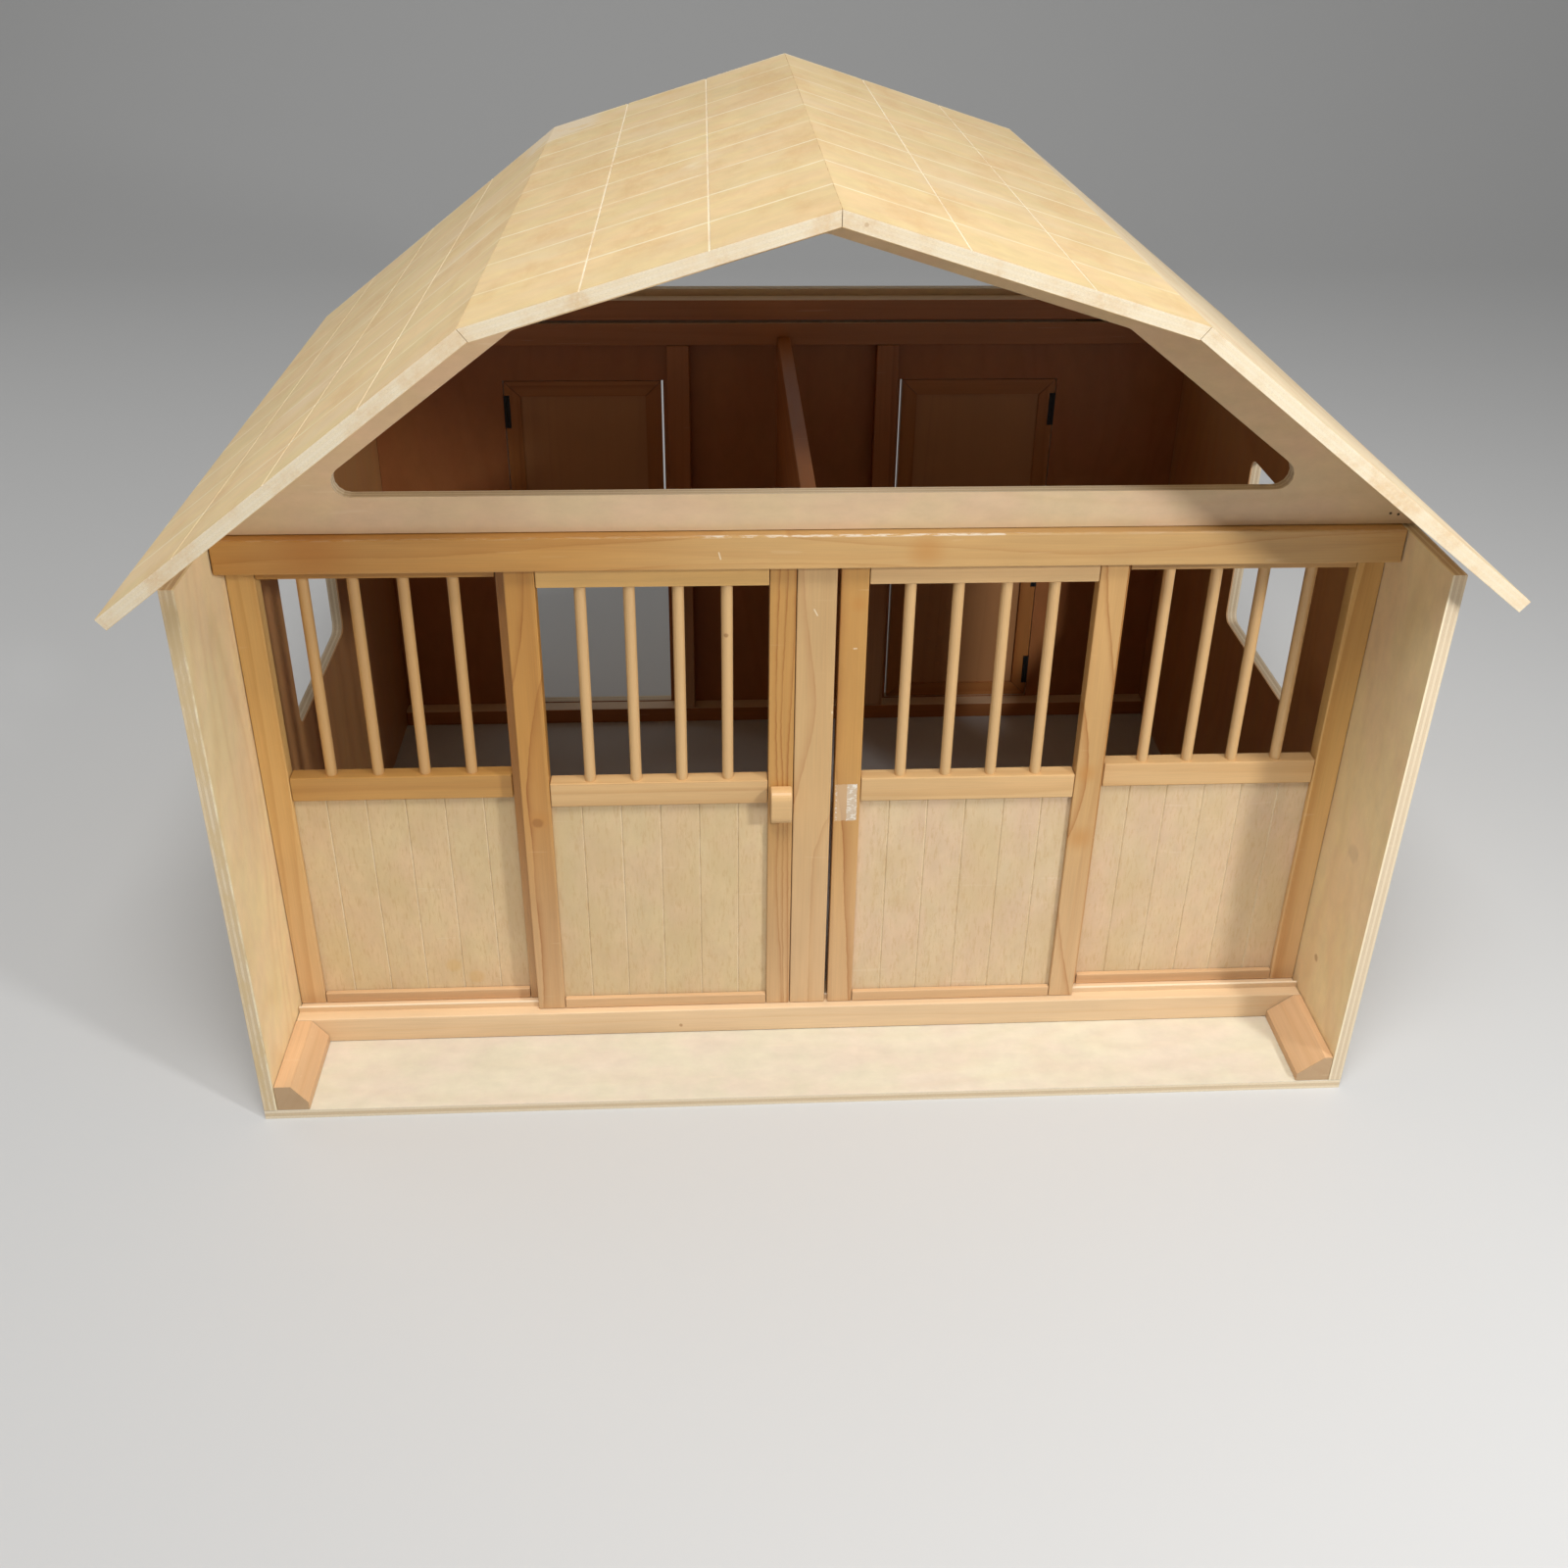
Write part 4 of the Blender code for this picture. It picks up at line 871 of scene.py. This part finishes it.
# %% Pine finishes
TONES = {
    "honey": ((0.6, 0.35, 0.13), (0.38, 0.15, 0.032)),
    "orange": ((0.55, 0.29, 0.08), (0.33, 0.115, 0.018)),
    "amber": ((0.52, 0.255, 0.06), (0.29, 0.09, 0.011)),
    "pale": ((0.66, 0.42, 0.19), (0.49, 0.25, 0.085)),
    "rosy": ((0.66, 0.42, 0.22), (0.5, 0.26, 0.11)),
    "blond": ((0.77, 0.555, 0.335), (0.62, 0.37, 0.16)),
    # The inside tone is dark and reddish as painted shade for the sticks indoors.
    "inside": ((0.44, 0.165, 0.05), (0.28, 0.08, 0.016)),
    "kerb": ((0.71, 0.455, 0.25), (0.55, 0.28, 0.11)),
    "header": ((0.62, 0.375, 0.145), (0.44, 0.19, 0.045)),
    "golden": ((0.72, 0.43, 0.145), (0.52, 0.25, 0.06)),
    "post": ((0.6, 0.38, 0.17), (0.44, 0.21, 0.075)),
}
# Pale colours for the foot of upright sticks, painted light near the floor.
LIT_FOOT, LIT_FOOT_LATE = (0.68, 0.45, 0.25), (0.5, 0.25, 0.1)
ALONG = {"X": (0, -HALF_TURN, 0), "Y": (HALF_TURN, 0, 0), "Z": (0, 0, 0)}


def pine_turn(name, along, aim, far):
    """Turn and move that put the heart of the log `far` metres off the middle of a stick."""
    middle = (BOX[name][0] + BOX[name][1]) / 2
    turn = ALONG[along]
    rotation = Matrix.Identity(3)
    for angle, axis in zip(turn, "XYZ"):
        rotation = Matrix.Rotation(angle, 3, axis) @ rotation
    heart = Vector((far * math.cos(aim), far * math.sin(aim), 0))
    return turn, heart - rotation @ middle


def end_grain(net, place, name, along):
    """A mask over the two sawn ends of a stick."""
    low, high = (corner["XYZ".index(along)] for corner in BOX[name])
    at = net.split(place)["XYZ".index(along)]
    first = net.under(at, low + END_SKIN)
    return net.most(first, net.over(at, high - END_SKIN))

# %% [markdown]
# The long grain lines follow the photograph, in millimetres of the stable's own frame. Each
# gives the side that fades (+1 or -1), how far it fades, its strength, and then the points on
# the line, each as two numbers: along the grain and across it. A glow is a warm round spot.

# %% Long grain lines
FLAMES = {
    "left_door_left_stile": [
        (-1, 4.0, 1.0, 238, -161.5, 252, -157.6, 268, -154.0, 282, -151.6, 299, -149.7,
         320, -148.6),
        (1, 5.0, 1.0, 24, -156.1, 64, -154.7, 107, -155.3, 140, -155.0, 166, -155.7, 176, -156.0,
         191, -154.6, 206, -152.8, 218, -151.0, 230, -148.6, 241, -146.4, 257, -141.0),
    ],
    "left_door_right_stile": [
        (-1, 2.2, 0.9, 24, -15.2, 53, -15.9, 86, -17.7, 118, -19.0, 155, -18.4, 215, -20.2,
         257, -20.3, 319, -18.9),
        (-1, 1.6, 0.9, 24, -14.1, 107, -15.5, 180, -16.1, 215, -17.5, 253, -16.9, 294, -15.4,
         319, -14.9),
        (-1, 2.2, 1.0, 24, -11.5, 128, -12.8, 188, -13.6, 207, -13.4, 237, -12.3, 280, -11.1,
         319, -10.8),
    ],
    "centre_post": [
        (-1, 6.0, 0.75, 24, -14, 160, -13, 170, -9.6, 184, -6.8, 207, -2.2, 218, -0.4, 231, 0.6,
         244, 0.0, 260, -1.8, 274, -3.6, 288, -5.4, 316, -7.4),
        (1, 4.0, 0.55, 24, 0.7, 96, 0.9, 121, 1.2, 134, 2.1, 142, 4.1, 152, 6.6, 170, 12, 316, 13),
    ],
    "right_door_left_stile": [
        (1, 7.0, 1.0, 24, 24.9, 51, 23.6, 74, 22.2, 95, 20.6, 117, 19.4, 138, 18.6, 156, 17.0,
         184, 13.4, 203, 12.2, 240, 12.0, 283, 12.0, 319, 10.0),
    ],
    "right_door_right_stile": [
        (-1, 3.0, 0.95, 24, 172, 200, 170, 224, 163.6, 241, 160.9, 253, 158.9, 266, 156.8,
         279, 154.1, 293, 151.7, 319, 148.6),
        (-1, 5.5, 1.0, 24, 136, 115, 138, 136, 144.2, 146, 147.6, 158, 150.1, 172, 152.0,
         186, 152.4, 197, 151.7, 209, 150.1, 222, 147.7, 235, 144.0, 250, 138),
        (-1, 4.0, 1.0, 24, 159.2, 46, 153.9, 65, 149.9, 82, 146.8, 100, 144.0, 117, 140.0,
         319, 137),
    ],
    "front_header": [
        (1, 7.0, 0.55, -299, 322.9, -264, 325.3, -232, 325.8, -199, 325.7, -178, 327.0, -154, 328.3,
         -132, 330.7, -88, 332.9, -45, 336.0, 0, 340, 299, 342),
        (-1, 3.0, 0.45, -299, 309, -130, 311, -111, 316.6, -93, 318.4, -56, 320.1, -17, 320.2,
         22, 319.3, 60, 316, 100, 310, 299, 308),
        (1, 4.0, 0.45, -299, 344, -40, 341, -10, 334, 12, 331.6, 34, 329.7, 67, 328.1, 112, 324.7,
         135, 323.6, 165, 324.6, 199, 327.4, 243, 331.7, 299, 334.2),
    ],
    "front_sill": [
        (1, 3.0, 0.3, -300, 12, -160, 15, 0, 16.5, 150, 14, 300, 15),
    ],
}
GLOWS = {
    "left_door_left_stile": [((-0.1499, -0.1551, 0.161), 0.009)],
    "right_door_left_stile": [((0.022, -0.1551, 0.293), 0.007)],
    "right_door_right_stile": [
        ((0.1528, -0.1551, 0.141), 0.012), ((0.152, -0.1551, 0.185), 0.009),
    ],
    "front_header": [((0.054, -0.1618, 0.3264), 0.014), ((-0.25, -0.1618, 0.33), 0.03)],
}
# The curve's box reaches this far beyond the stick, because some lines leave it.
LINE_MARGIN = 0.01


def grain_lines(net, place, name, along, colour, late):
    """Draws the long late-wood lines that FLAMES gives for one stick."""
    if name not in FLAMES:
        return colour
    low, high = BOX[name]
    a, c = (2, 0) if along == "Z" else (0, 2)
    start, length = low[a], high[a] - low[a]
    side, width = low[c] - LINE_MARGIN, high[c] - low[c] + 2 * LINE_MARGIN
    parts = net.split(place)
    share = net.math("DIVIDE", net.minus(parts[a], start), length, clamp=True)
    for fades, fade, strength, *run in FLAMES[name]:
        curve = net.put("ShaderNodeFloatCurve", {"Value": share})
        shape = curve.mapping
        shape.extend = "HORIZONTAL"
        points = zip(run[::2], run[1::2])
        spots = [((0.001 * p - start) / length, (0.001 * q - side) / width) for p, q in points]
        line = shape.curves[0]
        line.points[0].location, line.points[1].location = spots[0], spots[-1]
        for spot in spots[1:-1]:
            line.points.new(*spot)
        shape.update()
        at = net.scaled(curve.outputs["Value"], width, side)
        away = net.times(net.minus(parts[c], at), float(fades))
        drawn = add_group(net, line_group, Place=place, Away=away, Fade=0.001 * fade)
        colour = net.tint(colour, drawn["Mask"], strength, late)
    for point, radius in GLOWS.get(name, []):
        away = net.vector("LENGTH", net.vector("SUBTRACT", place, point))
        glow = net.between(away, 0.0, radius, 0.55, 0.0)
        colour = net.mix(glow, colour, (0.52, 0.23, 0.05))
    return colour

# %% [markdown]
# Small marks come next: nicks that bare pale wood, knots, the scar of the lost handle, and the tops
# of the inner rails, paler from dust and from painted light.

# %% Small marks
DOOR_FACE = BOX["left_door_left_stile"][0].y
NICKS = {
    "centre_post": [
        ((-0.0013, DOOR_FACE, 0.2901), (0.0004, DOOR_FACE, 0.2866)),
        ((0.0096, DOOR_FACE, 0.2279), (0.0096, DOOR_FACE, 0.2269)),
    ],
    "right_door_left_stile": [((0.02, DOOR_FACE, 0.2665), (0.0214, DOOR_FACE, 0.2666))],
}
KNOTS = {
    "left_door_left_stile": ((-0.1512, DOOR_FACE, 0.1586), 0.0032),
    "front_sill": ((-0.0752, BOX["front_sill"][0].y, 0.0118), 0.0013),
}


def small_marks(net, name, place, colour):
    """The nicks and the knot of one stick, if it has any."""
    if name in NICKS:
        nick = strokes(net, place, NICKS[name], 0.0005)
        colour = net.tint(colour, nick, 0.7, (0.84, 0.72, 0.52))
    if name in KNOTS:
        point, radius = KNOTS[name]
        wobble = net.noise(place, (300, 300, 150))
        shift = net.join(net.scaled(wobble, 0.003, -0.0015), 0.0, 0.0)
        knot = dots(net, net.vector("ADD", place, shift), [point], radius)
        colour = net.tint(colour, knot, 0.6, (0.3, 0.12, 0.03))
    return colour


def glue_scar(net, place, colour, roughness):
    """Where the right door's handle came off: bare wood under a crust of dried glue."""
    x, y, z = net.split(place)
    on_front = net.under(y, DOOR_FACE + 0.0006)
    ragged = net.noise(place, (500, 500, 500), detail=4.0, rough=0.65)
    edge = net.scaled(ragged, 0.0016, -0.0008)
    x = net.math("ADD", x, edge)
    z = net.math("ADD", z, edge)
    tall = net.math("COMPARE", z, 0.1685, 0.0122)
    bare, crust, line = (
        net.times(tall, net.math("COMPARE", x, middle, half), on_front)
        for middle, half in ((0.0189, 0.006), (0.0221, 0.0027), (0.0134, 0.0005))
    )
    colour = net.tint(colour, bare, 0.55, (0.64, 0.46, 0.29))
    colour = net.tint(colour, crust, 0.6, (0.62, 0.54, 0.43))
    flake = net.noise(place, (350, 350, 900), detail=3.0, rough=0.7)
    flake = net.times(net.most(crust, line), net.between(flake, 0.52, 0.6))
    colour = net.tint(colour, flake, 0.75, (0.86, 0.82, 0.74))
    return colour, net.between(crust, 0.0, 1.0, roughness, 0.28, "LINEAR")


def dusty_lit_top(name):
    """The upper face of an indoor rail, paler from dust and from painted light on the lit top."""

    def add_dusty_lit_top(net, place, colour, roughness):
        top = net.over(net.split(place)[2], BOX[name][1].z - SKIN)
        return net.tint(colour, top, 0.8, (0.85, 0.66, 0.44)), roughness

    return add_dusty_lit_top

# %% [markdown]
# Now every stick gets its finish. Its row says which way the grain runs, its tone, in which
# direction the heart of the log lies (in radians) and how far off, how wide a year's ring is,
# and how strong the lines are.

# %% The sticks
def grow(net, place, pale, late, ring, strength):
    return add_group(
        net, pine_group, Place=place, Pale=pale, Late_Wood=late,
        Ring_Width=ring, Line_Strength=strength,
    )


def pine(name, along, tone, aim, far, ring, strength, extra=None):
    turn, move = pine_turn(name, along, aim, far)
    move.z += 1.7 * math.sin(aim * 5.3 + far * 90)
    finish, net, place, wood = start_finish(f"{name}_pine", turn, move)
    pale, late = TONES[tone]
    # Painted light and shade: upright sticks are paler towards the floor, where more light reaches,
    # and darker and more orange towards the top, in the shade under the header.
    if along == "Z":
        height = net.between(net.split(place)[2], 0.0, 0.22, 0.25, 1.0)
        pale = net.mix(height, LIT_FOOT, pale)
        late = net.mix(height, LIT_FOOT_LATE, late)
    grown = grow(net, wood, pale, late, ring, strength)
    ends = end_grain(net, place, name, along)
    colour = grain_lines(net, place, name, along, grown["Color"], late)
    colour = net.tint(colour, ends, 0.55, (0.36, 0.25, 0.14))
    colour = play_on(net, place, colour, 0.08, (0.3, 0.18, 0.09), (0.8, 0.62, 0.4))
    roughness = net.scaled(ends, 0.2, grown["Roughness"])
    colour = small_marks(net, name, place, colour)
    if extra:
        colour, roughness = extra(net, place, colour, roughness)
    end_finish(net, colour, roughness, grown["Height"], coat=0.15)
    give(finish, name)


STICKS = {
    "left_kerb": ("Y", "kerb", 0.4, 0.05, 0.007, 0.45),
    "right_kerb": ("Y", "kerb", 2.2, 0.06, 0.0075, 0.45),
    "back_top_rail": ("X", "inside", 1.2, 0.05, 0.0065, 0.5),
    "back_bottom_rail": ("X", "inside", 2.6, 0.05, 0.0065, 0.5),
    "left_back_batten": ("Z", "inside", 0.8, 0.05, 0.006, 0.5),
    "right_back_batten": ("Z", "inside", 2.9, 0.04, 0.006, 0.5),
    "rear_gable_batten": ("X", "inside", 0.2, 0.05, 0.0065, 0.5),
    "centre_post": ("Z", "post", 0.15, 0.075, 0.01, 0.25),
    "left_stall_left_stile": ("Z", "golden", 0.5, 0.04, 0.0095, 0.5),
    # The amber of the left stall's right stile is partly its wood and partly painted shade from the
    # door beside it; the amber of its top rail is painted shade under the header.
    "left_stall_right_stile": ("Z", "amber", 3.0, 0.05, 0.011, 0.6),
    "left_stall_top_rail": ("X", "amber", 1.9, 0.05, 0.0065, 0.5),
    "left_stall_bottom_rail": ("X", "rosy", 1.1, 0.05, 0.006, 0.35),
    "left_door_left_stile": ("Z", "amber", 0.1, 0.06, 0.011, 0.2),
    "left_door_right_stile": ("Z", "orange", 2.8, 0.05, 0.007, 0.2),
    "left_door_top_rail": ("X", "golden", 1.3, 0.06, 0.008, 0.25),
    "left_door_bottom_rail": ("X", "rosy", 0.9, 0.05, 0.0065, 0.3),
    "left_door_handle": ("X", "pale", 1.5, 0.04, 0.009, 0.2),
    "right_door_left_stile": ("Z", "orange", 0.25, 0.07, 0.011, 0.2),
    "right_door_right_stile": ("Z", "honey", 3.3, 0.05, 0.011, 0.2),
    "right_door_top_rail": ("X", "pale", 1.7, 0.06, 0.008, 0.25),
    "right_door_bottom_rail": ("X", "rosy", 2.1, 0.05, 0.0065, 0.3),
    "right_stall_left_stile": ("Z", "orange", 0.3, 0.05, 0.01, 0.5),
    "right_stall_right_stile": ("Z", "golden", 2.9, 0.05, 0.009, 0.6),
    "right_stall_top_rail": ("X", "honey", 1.1, 0.05, 0.0065, 0.5),
    "right_stall_bottom_rail": ("X", "rosy", 1.8, 0.05, 0.006, 0.4),
    "stall_partition": ("Y", "inside", 1.57, 0.09, 0.011, 0.5),
}
EXTRAS = {
    "right_door_left_stile": glue_scar,
    "rear_gable_batten": dusty_lit_top("rear_gable_batten"),
    "back_top_rail": dusty_lit_top("back_top_rail"),
    "back_bottom_rail": dusty_lit_top("back_bottom_rail"),
}
for name, settings in STICKS.items():
    pine(name, *settings, EXTRAS.get(name))
print("sticks", len(STICKS))

# %% [markdown]
# The back door leaves are small mitred frames round a panel. One solid stands for all five
# sticks, so the grain has to change where the mitres lie: near a side edge it runs upright,
# near the top and the foot it runs across.

# %% Back door leaves
LEAVES = [n for n in nodes if n.endswith("_leaf")]
FRAME_WIDTH = 0.0115


def leaf_finish(name, number):
    low, high = BOX[name]
    turn, move = pine_turn(name, "Z", 1.4 + number, 0.06)
    finish, net, place, upright = start_finish(f"{name}_pine", turn, move)
    turn, move = pine_turn(name, "X", 0.6 + number, 0.05)
    across = net.place_in(place, turn, move)
    x, y, z = net.split(place)
    from_side, from_end = (
        net.math("MINIMUM", net.minus(at, first), net.minus(last, at))
        for at, first, last in ((x, low.x, high.x), (z, low.z, high.z))
    )
    is_end = net.under(from_end, net.math("MINIMUM", from_side, FRAME_WIDTH))
    wood = net.either(is_end, upright, across)
    grown = grow(net, wood, *TONES["honey"], 0.007, 0.45)
    # The panel inside the frame is thin pale board, and the mitres show as fine dark lines.
    nearest = net.math("MINIMUM", from_side, from_end)
    in_panel = net.between(nearest, FRAME_WIDTH, FRAME_WIDTH + 0.0004)
    board = net.mix(0.7, grown["Color"], (0.7, 0.52, 0.31))
    colour = net.mix(in_panel, grown["Color"], board)
    # Painted shade: the three closed leaves are darker on the side that faces indoors.
    if name != "left_back_lower_leaf":
        indoor_shade = net.between(y, high.y - 0.0012, high.y - 0.0008, 1.0, 0.0)
        colour = net.mix(indoor_shade, colour, (0.76, 0.52, 0.38), "MULTIPLY")
    mitre = net.math("ABSOLUTE", net.minus(from_side, from_end))
    mitre = net.between(mitre, 0.0001, 0.0005, 0.6, 0.0)
    mitre = net.times(mitre, net.minus(1.0, in_panel))
    colour = net.mix(mitre, colour, (0.1, 0.04, 0.015))
    end_finish(net, colour, grown["Roughness"], grown["Height"], coat=0.15)
    give(finish, name)


for number, name in enumerate(sorted(LEAVES)):
    leaf_finish(name, number)
print("leaves", len(LEAVES))

# %% [markdown]
# The middle rails carry the dowels, and a dowel is cut along the grain, so above the rail the
# wood is taken as upright. The dowels are a little paler than the rail.

# %% Middle rails with their dowels
BAR_RAILS = [n for n in nodes if n.endswith("_bar_rail")]
RAIL_HEIGHT = 0.0151


def bar_rail_finish(name, number):
    low, high = BOX[name]
    rail_top = low.z + RAIL_HEIGHT
    turn, move = pine_turn(name, "X", 1.1 + 0.7 * number, 0.05)
    finish, net, place, across = start_finish(f"{name}_pine", turn, move)
    upright = net.vector("ADD", place, (0.013 * number, 0.06, 0))
    z = net.split(place)[2]
    is_bar = net.over(z, rail_top + 0.0001)
    wood = net.either(is_bar, across, upright)
    tone = "orange" if name == "left_stall_bar_rail" else "pale"
    grown = grow(net, wood, *TONES[tone], 0.008, 0.4)
    dowel = net.mix(0.55, grown["Color"], (0.66, 0.42, 0.19))
    knot = dots(net, place, [(-0.0468, DOOR_FACE + 0.002, 0.2746)], 0.0014)
    dowel = net.tint(dowel, knot, 0.8, (0.34, 0.16, 0.05))
    colour = net.mix(is_bar, grown["Color"], dowel)
    end_finish(net, colour, grown["Roughness"], grown["Height"], coat=0.2)
    give(finish, name)


for number, name in enumerate(sorted(BAR_RAILS)):
    bar_rail_finish(name, number)
print("bar rails", len(BAR_RAILS))

# %% [markdown]
# The header has a few pale scuffs along its front edge where the lid comes down, and painted shade
# on its left half. The sill's thin track strip is raw and ragged along its top, where the doors
# ride on it.

# %% Header and sill
header_low, header_high = BOX["front_header"]


def header_shade_and_scuffs(net, place, colour, roughness):
    x, y, z = net.split(place)
    # Painted shade: the left half is darker and more golden, where the roof's left overhang shades
    # it.
    golden = net.between(x, -0.14, -0.02, 0.75, 0.0)
    colour = net.mix(golden, colour, (0.84, 0.66, 0.36), "MULTIPLY")
    near_top = net.between(z, header_high.z - 0.0013, header_high.z - 0.0005)
    near_front = net.between(y, header_low.y + 0.0016, header_low.y + 0.0006)
    middle = net.between(net.math("ABSOLUTE", net.minus(x, 0.02)), 0.09, 0.07)
    patch = net.noise(place, (110, 900, 900), detail=4.0, rough=0.65)
    ragged = net.between(patch, 0.44, 0.54)
    scuff = net.times(near_top, near_front, ragged, net.most(middle, 0.15))
    front = header_low.y
    nick = strokes(net, place, [((-0.0503, front, 0.3265), (-0.0494, front, 0.3228))], 0.0005)
    colour = net.tint(colour, scuff, 0.8, (0.84, 0.76, 0.62))
    colour = net.tint(colour, nick, 0.7, (0.84, 0.72, 0.52))
    return colour, net.scaled(scuff, 0.25, roughness)


pine("front_header", "X", "header", 1.35, 0.045, 0.009, 0.2, header_shade_and_scuffs)
sill_low, sill_high = BOX["front_sill"]


def raw_track(net, place, colour, roughness):
    """The top of the thin strip is raw and ragged where the doors ride on it."""
    ragged = net.noise(place, (260, 900, 900), detail=4.0, rough=0.7)
    edge = net.scaled(ragged, 0.0006, sill_high.z - 0.0007)
    top = net.over(net.split(place)[2], edge)
    colour = net.tint(colour, top, 0.8, (0.88, 0.75, 0.56))
    return colour, net.scaled(top, 0.2, roughness)


pine("front_sill", "X", "blond", 1.2, 0.05, 0.008, 0.3, raw_track)
print("header", round(header_high.z, 4), "sill", round(sill_high.z, 4))
